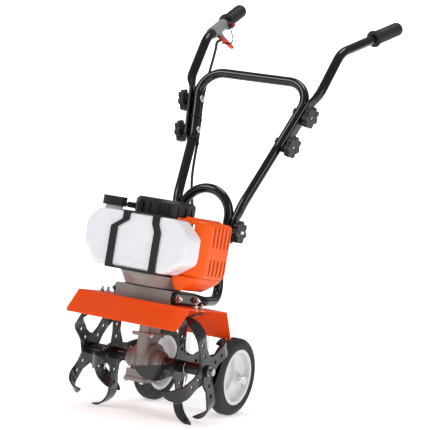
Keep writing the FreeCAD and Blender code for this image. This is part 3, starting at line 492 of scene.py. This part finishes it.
def join_rings(bm, rings):
    """Faces between neighbouring rings of points, and a cap on the first and the last."""
    count = len(rings[0])
    for first, second in zip(rings, rings[1:]):
        for index in range(count):
            after = (index + 1) % count
            bm.faces.new((first[index], first[after], second[after], second[index]))
    bm.faces.new(list(reversed(rings[0])))
    bm.faces.new(rings[-1])


def add_prism(bm, near_points, far_points):
    """A flat outline carried across to its copy. Returns the corners of the near side."""
    near = [bm.verts.new(point) for point in near_points]
    far = [bm.verts.new(point) for point in far_points]
    join_rings(bm, [far, near])
    bmesh.ops.recalc_face_normals(bm, faces=bm.faces)
    return near


def squared_circle(angle, power):
    """A point of a unit circle drawn out towards a square, the more so for a small power."""
    c, s = math.cos(angle), math.sin(angle)
    return math.copysign(abs(c) ** power, c), math.copysign(abs(s) ** power, s)


def add_lathe(bm, origin, axis, profile, segments=48, turn=0.0):
    """A turned shape: profile rows are (distance along the axis, radius), in mm."""
    axis = axis.normalized()
    side, other = square_to(axis)
    rings = []
    for along, radius in profile:
        ring = []
        for index in range(segments):
            angle = 2 * math.pi * index / segments + turn
            offset = (side * math.cos(angle) + other * math.sin(angle)) * (radius / 1000)
            ring.append(bm.verts.new(origin + axis * (along / 1000) + offset))
        rings.append(ring)
    join_rings(bm, rings)


def add_washer(bm, origin, axis, outer, inner, thick):
    edge = 0.3
    profile = [(0, inner), (0, outer - edge), (edge, outer), (thick - edge, outer),
               (thick, outer - edge), (thick, inner)]
    add_lathe(bm, origin, axis, profile, 32)


def add_hexagon(bm, origin, axis, across, height, turn=0.0):
    """A nut or bolt head with its corners turned off."""
    corner = across / 2 / math.cos(math.pi / 6)
    profile = [(0, corner * 0.93), (height * 0.12, corner), (height * 0.84, corner),
               (height, corner * 0.86)]
    add_lathe(bm, origin, axis, profile, 6, turn)


def add_thread(bm, origin, axis, radius, length):
    """A stud end with visible thread crests."""
    profile = [(0, radius)]
    along = 0.6
    while along < length - 1:
        profile += [(along, radius - 0.45), (along + 0.5, radius)]
        along += 1.0
    profile += [(length - 0.8, radius), (length, radius - 0.8)]
    add_lathe(bm, origin, axis, profile, 20)


def rounded_path(points, radii, step=0.004):
    """Close-set points along straight runs joined by tangent arcs."""
    path = [points[0].copy()]
    for before, corner, after, radius in zip(points, points[1:], points[2:], radii):
        to_before = (before - corner).normalized()
        to_after = (after - corner).normalized()
        half = to_before.angle(to_after) / 2
        radius = radius / 1000
        setback = radius / math.tan(half)
        start = corner + to_before * setback
        bisector = (to_before + to_after).normalized()
        centre = corner + bisector * (radius / math.sin(half))
        normal = to_before.cross(to_after).normalized()
        turn = math.pi - 2 * half
        count = max(3, int(turn * radius / step))
        run(path, start, step)
        arm = start - centre
        for index in range(1, count + 1):
            bend = Quaternion(normal, -turn * index / count)
            path.append(centre + bend @ arm)
    run(path, points[-1], step)
    return path


def run(path, end, step):
    """Adds a straight run to a path."""
    start = path[-1]
    count = max(1, int((end - start).length / (step * 2)))
    for index in range(1, count + 1):
        path.append(start.lerp(end, index / count))


def add_sweep(bm, path, section, thin, segments=28):
    """A tube whose section may change. section(distance in mm) gives its two half sizes in mm,
    the first along the vector thin, and how square it is."""
    rings = []
    travelled = 0.0
    a_axis = thin
    for index, place in enumerate(path):
        ahead = path[min(index + 1, len(path) - 1)]
        behind = path[max(index - 1, 0)]
        axis = (ahead - behind).normalized()
        if index:
            travelled += (place - path[index - 1]).length * 1000
        a_axis = (a_axis - axis * a_axis.dot(axis)).normalized()
        b_axis = axis.cross(a_axis)
        a, b, power = section(travelled)
        ring = []
        for corner in range(segments):
            x, y = squared_circle(2 * math.pi * corner / segments, power)
            ring.append(bm.verts.new(place + a_axis * (x * a / 1000) + b_axis * (y * b / 1000)))
        rings.append(ring)
    join_rings(bm, rings)
    return rings


def add_sweep_and_mirror(bm, path, section, thin):
    """A tube drawn from one end to the middle plane, and its mirror image."""
    rings = add_sweep(bm, path, section, thin)
    for vert in rings[-1]:
        vert.co.x = 0
    bm.faces.ensure_lookup_table()
    bm.faces.remove(bm.faces[-1])
    copies = bmesh.ops.duplicate(bm, geom=bm.verts[:] + bm.edges[:] + bm.faces[:])["geom"]
    for part in copies:
        if isinstance(part, bmesh.types.BMVert):
            part.co.x = -part.co.x
    flipped = [part for part in copies if isinstance(part, bmesh.types.BMFace)]
    bmesh.ops.reverse_faces(bm, faces=flipped)
    bmesh.ops.remove_doubles(bm, verts=bm.verts, dist=0.00001)


def ease(value, start, end):
    """0 up to start, 1 from end on, and smooth between them."""
    t = min(1.0, max(0.0, (value - start) / (end - start)))
    return t * t * (3 - 2 * t)


TUBE = 11.0            # the handle tubes' radius in mm
END_ROUNDING = 9       # how far a flat end's corners are rounded, in mm
FLAT_SQUARENESS = 0.55


def crimped(flat, crimp, thick, width):
    """A round section whose start is pressed flat: the flat length, the length over which it
    becomes round, the half thickness and the half width, in mm."""
    def section(distance):
        pressed = 1 - ease(distance, flat, flat + crimp)
        rounding = math.sqrt(max(0.05, 1 - (1 - min(1.0, distance / END_ROUNDING)) ** 2))
        a = TUBE + (thick - TUBE) * pressed
        b = (TUBE + (width - TUBE) * pressed) * rounding
        return a, b, 1 - FLAT_SQUARENESS * pressed
    return section


# ---- handle tubes ----

LOOP_TOP_Z = 504
LEG_LOW_Z = 620.0
LEG_HIGH_Z = 778.0
FRAME_MID = at(111, 241, LEG_LOW_Z)
FRAME_CORNER = at(152, 300, LEG_HIGH_Z)
LEG = (FRAME_CORNER - FRAME_MID).normalized()
LEG_OUT = (SIDEWAYS - LEG * LEG.x).normalized()
BAR_BEND = at(178, 352, 863)
BAR_END = at(214, 561, 955)
BAR_FLAT_LOW_Z = 616
BAR_FLAT_HIGH_Z = 747
KNOB_HEIGHTS = (634.0, 708.0)
FLAT_OFFSET = 0.0156     # metres from the leg's centre line to the handlebar's flat end


def on_leg(z):
    """The point of the frame leg's centre line at a height on the upright machine."""
    share = (z - LEG_LOW_Z) / (LEG_HIGH_Z - LEG_LOW_Z)
    return FRAME_MID.lerp(FRAME_CORNER, share)


def make_base_loop():
    """The loop bolted to the gear case block by its flat ends."""
    half = [at(73.3, -68, 252.5), at(73.3, 36, 252.5), at(81.5, 62, 252.5),
            at(69.3, 153, 254.5), at(61, 155, 312.5), at(61, 155, LOOP_TOP_Z),
            at(0, 155, LOOP_TOP_Z)]
    path = rounded_path(half, [25, 25, 40, 110, 60.9])
    bm = bmesh.new()
    add_sweep_and_mirror(bm, path, crimped(104, 30, 3.2, 14), SIDEWAYS)
    make_piece("base_loop_tube", bm, 40, "gloss_black_tube", "base", "base_loop")


def make_middle_frame():
    """The folding frame, with flat lower ends at the pivot bolts."""
    half = [at(76.3, 153, 388), at(76.3, 158.5, 440), at(84.6, 167.5, 480),
            FRAME_MID, FRAME_CORNER, at(0, 300, LEG_HIGH_Z)]
    path = rounded_path(half, [50, 90, 160, 52])
    bm = bmesh.new()
    add_sweep_and_mirror(bm, path, crimped(46, 30, 4, 14), SIDEWAYS)
    make_piece("middle_frame_tube", bm, 40, "gloss_black_tube", "handle_frame", "middle_frame")


def make_handlebar(side, label):
    """A handlebar whose flat lower end lies against the leg and steps out above it."""
    low = on_leg(BAR_FLAT_LOW_Z) + LEG_OUT * FLAT_OFFSET
    high = on_leg(BAR_FLAT_HIGH_Z) + LEG_OUT * FLAT_OFFSET
    step_out = high + LEG_OUT * 0.0072 + LEG * 0.018
    points = [low, high - LEG * 0.016, step_out, BAR_BEND, BAR_END]
    path = rounded_path([on_side(side, point) for point in points], [30, 60, 62])
    flat = (high - low).length * 1000 - 14
    bm = bmesh.new()
    add_sweep(bm, path, crimped(flat, 34, 4, 14), on_side(side, LEG_OUT))
    make_piece("handlebar_tube_" + label, bm, 40, "gloss_black_tube", "handle_frame",
               "handlebar_" + label)


make_base_loop()
make_middle_frame()
make_handlebar(-1, "left")
make_handlebar(1, "right")


# ---- bolts ----

STUD_RADIUS = 3.95
ROUND_HEAD = [(0, 4.5), (1.2, 7.2), (3.4, 8), (4.6, 8)]


def make_base_bolts():
    """Four block bolts, and the two pivot bolts that carry the folding frame."""
    bm = bmesh.new()
    for side in (-1, 1):
        out = SIDEWAYS * side
        for y in (-50, 33):
            place = at(side * 76.4, y, 252.5)
            add_washer(bm, place, out, 8, 4, 1.6)
            add_hexagon(bm, place + out * 0.0016, out, 12.5, 6.2, 0.3)
            add_thread(bm, place + out * 0.0076, out, 3.9, 4.4)
        inside = at(side * 45.4, 155, 416)
        add_lathe(bm, inside, out, ROUND_HEAD, 32)
        add_thread(bm, inside + out * 0.0045, out, STUD_RADIUS, 55)
    make_piece("base_bolt_set", bm, 30, "zinc_steel", "base", "base_bolts")


def make_handle_bolts():
    bm = bmesh.new()
    for side in (-1, 1):
        out = on_side(side, LEG_OUT)
        for z in KNOB_HEIGHTS:
            place = on_side(side, on_leg(z))
            head = place - out * (TUBE + 4.5) / 1000
            add_lathe(bm, head, out, [(0, 4.2), (1.1, 7), (3, 8), (4.5, 8)], 32)
            add_thread(bm, place - out * 0.011, out, STUD_RADIUS, 49)
    make_piece("handle_bolt_set", bm, 30, "zinc_steel", "handle_frame", "handle_bolts")


def make_fender_bolts():
    bm = bmesh.new()
    for side in (-1, 1):
        for y in (-40, -14):
            top = at(side * 120, y, 238)
            add_washer(bm, top, UP, 6.5, 3, 1.2)
            add_hexagon(bm, top + UP * 0.0012, UP, 9.5, 4.6, 0.5 + y)
            add_thread(bm, top + UP * 0.0055, UP, 2.9, 6.5)
            add_hexagon(bm, at(side * 120, y, 236), -UP, 9.5, 3.2, 0.2)
    make_piece("fender_bolt_set", bm, 30, "zinc_steel", "base", "fender_bolts")


def make_gear_case_bolts():
    bm = bmesh.new()
    for x in (-19, 19):
        for y in (-45, 11):
            add_hexagon(bm, at(x, y, 58), -UP, 8, 4, 0.4)
    for y in (-41, 16):
        for side in (-1, 1):
            out = SIDEWAYS * side
            add_hexagon(bm, at(side * 20, y, 162), out, 7.6, 4.6, 0.4)
    make_piece("gear_case_bolt_set", bm, 30, "zinc_steel", "base", "gear_case_bolts")


make_base_bolts()
make_handle_bolts()
make_fender_bolts()
make_gear_case_bolts()


# ---- CAD shapes that only need rounded edges ----

# node: edge width in mm
ROUNDED = {
    "gear_case_left": 0.9, "gear_case_right": 0.9, "gear_case_cover": 0.8,
    "clutch_housing": 0.8, "crankcase": 0.6, "cylinder": 0.3, "muffler": 0, "tank_frame": 0.8,
    "fender": 0.4, "wheel_bracket": 0.4, "tine_hubs": 0.5, "tines_left": 0.5,
    "tines_right": 0.5, "engine_shroud": 0.9, "starter_housing": 0.8, "starter_grip": 1.2,
    "carburettor": 0.8, "air_filter_cover": 0.8, "fuel_cap": 0.5,
    "rim_left": 1.0, "rim_right": 1.0, "stop_switch": 0.6, "throttle_housing": 0.5,
    "stop_button": 0.7, "spark_plug": 0.5,
}
ROUNDED.update({f"{place}_knob_{side}": 1.6
                for side in ("left", "right") for place in ("pivot", "lower", "upper")})
for node, width in ROUNDED.items():
    refined(node, width, 3 if width >= 0.8 else 2)


# ---- tank, tyres, axle and grips ----

def make_tank():
    """A blow-moulded tank: flat faces that run into each other with soft corners."""
    half, low, high, front, rear = 128, 302, 423, -142, -76
    outline = [(-half + 34, low), (half - 46, low), (half, low + 30), (half, high - 34),
               (half - 36, high), (-half + 26, high), (-half, high - 30), (-half, low + 44)]
    bm = bmesh.new()
    near = add_prism(bm, [at(x, front, z) for x, z in outline],
                     [at(x, rear, z) for x, z in outline])
    across = [e for e in bm.edges if (e.verts[0] in near) != (e.verts[1] in near)]
    bmesh.ops.bevel(bm, geom=across, offset=0.012, segments=6, profile=0.5, affect="EDGES",
                    offset_type="WIDTH")
    top = at(-86, -104, high - 8)
    add_lathe(bm, top, UP, [(0, 19), (14, 19), (16, 20.2), (18, 20.2), (20, 19), (25, 19)], 48)
    obj = new_object("tank_body", bm)
    remesh = obj.modifiers.new("skin", "REMESH")
    remesh.mode = "VOXEL"
    remesh.voxel_size = 0.0026
    relax = obj.modifiers.new("relax", "SMOOTH")
    relax.factor = 0.5
    relax.iterations = 34
    depsgraph = bpy.context.evaluated_depsgraph_get()
    mesh = bpy.data.meshes.new_from_object(obj.evaluated_get(depsgraph))
    obj.modifiers.clear()
    obj.data = mesh
    for face in mesh.polygons:
        face.use_smooth = True
    finish_piece(obj, "tank_plastic", "base", "fuel_tank")


def make_shroud_skirt():
    """The part of the shroud that draws in below the engine."""
    # height, then the left, right, front and rear edges
    rows = [(304, 60, 126, -76, 56), (298, 60, 124, -76, 54), (290, 62, 116, -75, 48),
            (281, 67, 105, -73, 40), (273, 73, 94, -70, 30)]
    bm = bmesh.new()
    segments = 48
    rings = []
    for z, x0, x1, y0, y1 in rows:
        ring = []
        for index in range(segments):
            x, y = squared_circle(2 * math.pi * index / segments, 0.4)
            ring.append(bm.verts.new(at((x0 + x1) / 2 + (x1 - x0) / 2 * x,
                                        (y0 + y1) / 2 + (y1 - y0) / 2 * y, z)))
        rings.append(ring)
    join_rings(bm, rings[::-1])
    make_piece("shroud_skirt", bm, 40, "orange_plastic", "base")


TYRE_WIDTH = 38
TYRE_SEGMENTS = 96


def make_tyre(label):
    """A tyre with a bead, a bulging wall, a rim rib and three lines round its tread."""
    wall = [(2.5, 63.6), (1.2, 66), (0.6, 69), (0.2, 71), (0.9, 71.8), (0.9, 72.8),
            (0.2, 73.6), (0.1, 77), (0.8, 80.5), (2.4, 83.6), (5, 86.2), (8, 87.8)]
    profile = list(wall)
    for groove in (11.5, 19, 26.5):
        profile += [(groove - 1.3, 88.9), (groove - 0.7, 87.9), (groove + 0.7, 87.9),
                    (groove + 1.3, 88.9)]
    profile += [(TYRE_WIDTH - along, radius) for along, radius in reversed(wall)]
    centre = Vector(joints[f"wheel_{label}_spin"]["pos_m"])
    bm = bmesh.new()
    start = centre - SIDEWAYS * (TYRE_WIDTH / 2000)
    add_lathe(bm, start, SIDEWAYS, profile, TYRE_SEGMENTS)
    caps = [face for face in bm.faces if len(face.verts) == TYRE_SEGMENTS]
    bmesh.ops.delete(bm, geom=caps, context="FACES_ONLY")
    rings = [edge for edge in bm.edges if edge.is_boundary]
    bmesh.ops.bridge_loops(bm, edges=rings)
    make_piece("tyre_body_" + label, bm, 38, "tyre_rubber", "wheel_" + label, "tyre_" + label)


def make_axle():
    """The fixed axle with a washer and nut at each end and a collar inside each wheel."""
    bm = bmesh.new()
    centre = Vector(joints["wheel_left_spin"]["pos_m"])
    centre.x = 0
    half = 129
    add_lathe(bm, centre - SIDEWAYS * half / 1000, SIDEWAYS,
              [(0, 4.8), (1.2, 6), (2 * half - 1.2, 6), (2 * half, 4.8)], 32)
    for side in (-1, 1):
        out = SIDEWAYS * side
        face = centre + out * 0.118
        add_washer(bm, face, out, 11, 6, 1.6)
        add_hexagon(bm, face + out * 0.0016, out, 16.5, 6.8, 0.35)
        inside = centre + out * 0.078
        add_lathe(bm, inside, -out, [(0, 7), (0.8, 9), (5.2, 9), (6, 8)], 32)
    make_piece("axle_and_nuts", bm, 30, "zinc_steel", "base", "wheel_axle")


def make_grips():
    """Ribbed rubber grips with a flange and a rounded end."""
    bm = bmesh.new()
    for side in (-1, 1):
        end = on_side(side, BAR_END)
        axis = (end - on_side(side, BAR_BEND)).normalized()
        profile = [(0, 12), (0.2, 18.6), (1.2, 20), (5, 20), (6.2, 19), (7.6, 16.6)]
        along = 11.0
        while along < 92:
            profile += [(along, 16.4), (along + 0.7, 15.7), (along + 2.3, 15.7),
                        (along + 3.0, 16.4)]
            along += 5.4
        profile += [(99, 16.4), (102, 15.6), (104, 13.4), (105, 9), (104.6, 4)]
        add_lathe(bm, end - axis * 0.1, axis, profile, 40)
    make_piece("ribbed_grips", bm, 50, "grip_rubber", "handle_frame", "grips")


make_tank()
make_shroud_skirt()
make_tyre("left")
make_tyre("right")
make_axle()
make_grips()


# ---- throttle cable ----

UPPER_CABLE = [(-157, 366, 842), (-150, 345, 800), (-142, 318, 752), (-132, 296, 704),
               (-117, 274, 656), (-103, 253, 610), (-90, 227, 566), (-77, 205, 524),
               (-62, 190, 484), (-44, 173, 450), (-32, 158, 423)]
LOWER_CABLE = [(-29, 146, 409), (-30, 112, 391), (-42, 72, 376), (-57, 44, 365),
               (-57, 14.3, 365)]
CABLE_RADII = (0.0028, 0.0035)     # the groove and the crest of its corrugated sleeve
CABLE_SIDES = 12


def spline_points(points):
    """Points along a smooth NURBS line through the neighbourhood of its control points."""
    data = bpy.data.curves.new("route", "CURVE")
    data.dimensions = "3D"
    spline = data.splines.new("NURBS")
    spline.points.add(len(points) - 1)
    for control, place in zip(spline.points, points):
        control.co = (*place, 1)
    spline.order_u = 3
    spline.use_endpoint_u = True
    spline.resolution_u = 16
    obj = bpy.data.objects.new("route", data)
    scene.collection.objects.link(obj)
    bpy.context.view_layer.update()
    depsgraph = bpy.context.evaluated_depsgraph_get()
    mesh = bpy.data.meshes.new_from_object(obj.evaluated_get(depsgraph))
    line = [vertex.co.copy() for vertex in mesh.vertices]
    bpy.data.objects.remove(obj)
    bpy.data.meshes.remove(mesh)
    return line


def even_points(line, spacing):
    """Points at an even spacing along a line."""
    result = [line[0]]
    left = spacing
    for start, end in zip(line, line[1:]):
        span = (end - start).length
        done = 0.0
        while span - done >= left:
            done += left
            result.append(start.lerp(end, done / span))
            left = spacing
        left -= span - done
    return result


# directions at the left grip, where the throttle lever is
BAR_AXIS = (mirrored(BAR_END) - mirrored(BAR_BEND)).normalized()
INWARD = (SIDEWAYS - BAR_AXIS * BAR_AXIS.x).normalized()
DOWN = (-UP - BAR_AXIS * (-UP).dot(BAR_AXIS)).normalized()
TRIGGER_SIDE = (DOWN + INWARD * 0.9).normalized()
TRIGGER_PIVOT = Vector(joints["trigger_squeeze"]["pos_m"])


def make_throttle_cable():
    """One corrugated cable from the lever to the carburettor, bent where the frame folds."""
    start = [TRIGGER_PIVOT - BAR_AXIS * 0.013 + TRIGGER_SIDE * 0.002,
             TRIGGER_PIVOT - BAR_AXIS * 0.034 - TRIGGER_SIDE * 0.002]
    points = start + [at(*p) for p in UPPER_CABLE + LOWER_CABLE]
    line = even_points(spline_points(points), 0.0015)
    bm = bmesh.new()
    rings = []
    for index, place in enumerate(line):
        axis = (line[min(index + 1, len(line) - 1)] - line[max(index - 1, 0)]).normalized()
        side, other = square_to(axis)
        radius = CABLE_RADII[index % 2]
        angles = (2 * math.pi * k / CABLE_SIDES for k in range(CABLE_SIDES))
        rings.append([bm.verts.new(place + (side * math.cos(a) + other * math.sin(a)) * radius)
                      for a in angles])
    for first, second in zip(rings, rings[1:]):
        shift = min(range(CABLE_SIDES), key=lambda k: (first[0].co - second[k].co).length)
        for k in range(CABLE_SIDES):
            after = k + 1
            bm.faces.new((first[k], first[after % CABLE_SIDES],
                          second[(after + shift) % CABLE_SIDES],
                          second[(k + shift) % CABLE_SIDES]))
    obj = new_object("throttle_cable", bm)
    smooth_by_angle(obj, 60)
    obj.data.materials.append(slots["grip_rubber"])
    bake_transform(obj)
    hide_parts("throttle_cable_upper", "throttle_cable_lower")


make_throttle_cable()


# ---- small hardware ----

def wire_section(radius):
    return lambda distance: (radius, radius, 1.0)


def make_hitch_pins():
    """Pins through the hub tubes, each with its spring clip hanging below."""
    bm = bmesh.new()
    for side in (-1, 1):
        x = side * 104
        add_lathe(bm, at(x, 0, 85), UP, [(0, 2.2), (0.8, 2.9), (39, 2.9), (40, 2.2)], 20)
        loop = [at(x, 0, 88), at(x + 2, -6, 84), at(x + 4, -9, 74), at(x + 1, -2, 66),
                at(x - 4, 5, 70), at(x - 3, 7, 80), at(x, 3, 86), at(x + 2, -8, 92),
                at(x, -17, 96), at(x - 2, -19, 108), at(x, -16, 118)]
        line = even_points(spline_points(loop), 0.002)
        add_sweep(bm, line, wire_section(1.2), BACK, 10)
    make_piece("hitch_pin_clips", bm, 45, "zinc_steel", "tine_drive", "hitch_pins")


def make_stop_wire():
    """Two thin wires from the stop switch to the throttle housing."""
    switch = mirrored(BAR_BEND) + BAR_AXIS * 0.1125 + INWARD * 0.025
    bm = bmesh.new()
    for offset in (-0.0012, 0.0012):
        points = [switch - INWARD * 0.006 - BAR_AXIS * 0.009,
                  switch + INWARD * 0.001 - BAR_AXIS * 0.02 + DOWN * 0.004,
                  TRIGGER_PIVOT + BAR_AXIS * 0.02 + TRIGGER_SIDE * 0.016 + INWARD * 0.012,
                  TRIGGER_PIVOT + BAR_AXIS * 0.002 + TRIGGER_SIDE * 0.02 + INWARD * 0.004,
                  TRIGGER_PIVOT - BAR_AXIS * 0.017 + TRIGGER_SIDE * 0.0095]
        shifted = [point + DOWN * offset for point in points]
        line = even_points(spline_points(shifted), 0.002)
        add_sweep(bm, line, wire_section(1.0), DOWN, 10)
    make_piece("stop_wire_pair", bm, 60, "grip_rubber", "handle_frame", "stop_wire")


TIE_INNER = 0.0118         # around the tube
TIE_CABLE_REACH = 0.0042   # past the middle of the cable
TIE_THICKNESS = 0.0011
TIE_HALF_WIDTH = 0.0018
TIE_SEGMENTS = 40


def make_cable_ties():
    """Nylon ties that hold the cable to the tube beside it."""
    bm = bmesh.new()
    knee = at(-85, 169, 496)
    lower_leg = (mirrored(FRAME_MID) - knee).normalized()
    places = [(knee.lerp(mirrored(FRAME_MID), 0.92), at(-103, 253, 610), lower_leg),
              (mirrored(on_leg(664)), at(-120, 278, 664), mirrored(LEG))]
    for tube, cable, axis in places:
        toward = cable - tube
        toward = toward - axis * toward.dot(axis)
        gap = toward.length
        toward.normalize()
        other = axis.cross(toward)
        corners = ((0, -TIE_HALF_WIDTH), (TIE_THICKNESS, -TIE_HALF_WIDTH),
                   (TIE_THICKNESS, TIE_HALF_WIDTH), (0, TIE_HALF_WIDTH))
        rings = []
        for index in range(TIE_SEGMENTS):
            angle = 2 * math.pi * index / TIE_SEGMENTS
            c, s = math.cos(angle), math.sin(angle)
            far = max(0.0, c)
            reach = TIE_INNER * (1 - far) + (gap + TIE_CABLE_REACH) * far
            width = TIE_INNER - 0.0068 * far ** 2
            along = reach * c if c < 0 else TIE_INNER * c * (1 - far) + reach * far
            inner = tube + toward * along + other * (width * s)
            outward = (toward * c + other * s).normalized()
            rings.append([bm.verts.new(inner + outward * r + axis * z) for r, z in corners])
        for first, second in zip(rings, rings[1:] + rings[:1]):
            for k in range(4):
                after = (k + 1) % 4
                bm.faces.new((first[k], first[after], second[after], second[k]))
    make_piece("cable_ties", bm, 40, "black_plastic", "handle_frame")


def make_trigger():
    """The throttle lever: a thick paddle that hangs below the bar."""
    # mm ahead of the pivot along the bar, and away from the bar
    outline = [(-9, -5), (-10, 4), (-5, 12), (-1, 20), (2, 29), (6, 35), (11, 37), (15, 34),
               (15, 27), (12, 19), (11, 10), (11, 2), (8, -6), (0, -8)]
    across = BAR_AXIS.cross(TRIGGER_SIDE).normalized() * 0.0031
    middle = [TRIGGER_PIVOT + BAR_AXIS * ahead / 1000 + TRIGGER_SIDE * away / 1000
              for ahead, away in outline]
    bm = bmesh.new()
    add_prism(bm, [place - across for place in middle], [place + across for place in middle])
    obj = make_piece("trigger_paddle", bm, 40, "trigger_plastic", "trigger", "throttle_trigger")
    round_edges(obj, 1.2, 3, 50)


def make_starter_rope():
    """The starter rope that runs between the housing and its grip."""
    bm = bmesh.new()
    lay = [(step * 0.8, 1.9 if step % 2 else 1.7) for step in range(1, 40)]
    profile = [(0, 1.2)] + lay + [(32, 1.2)]
    add_lathe(bm, at(-42, -30, 438), -SIDEWAYS, profile, 12)
    obj = new_object("starter_rope", bm)
    smooth_by_angle(obj, 60)
    obj.data.materials.append(slots["grip_rubber"])
    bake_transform(obj)


make_hitch_pins()
make_stop_wire()
make_starter_rope()
make_trigger()
make_cable_ties()
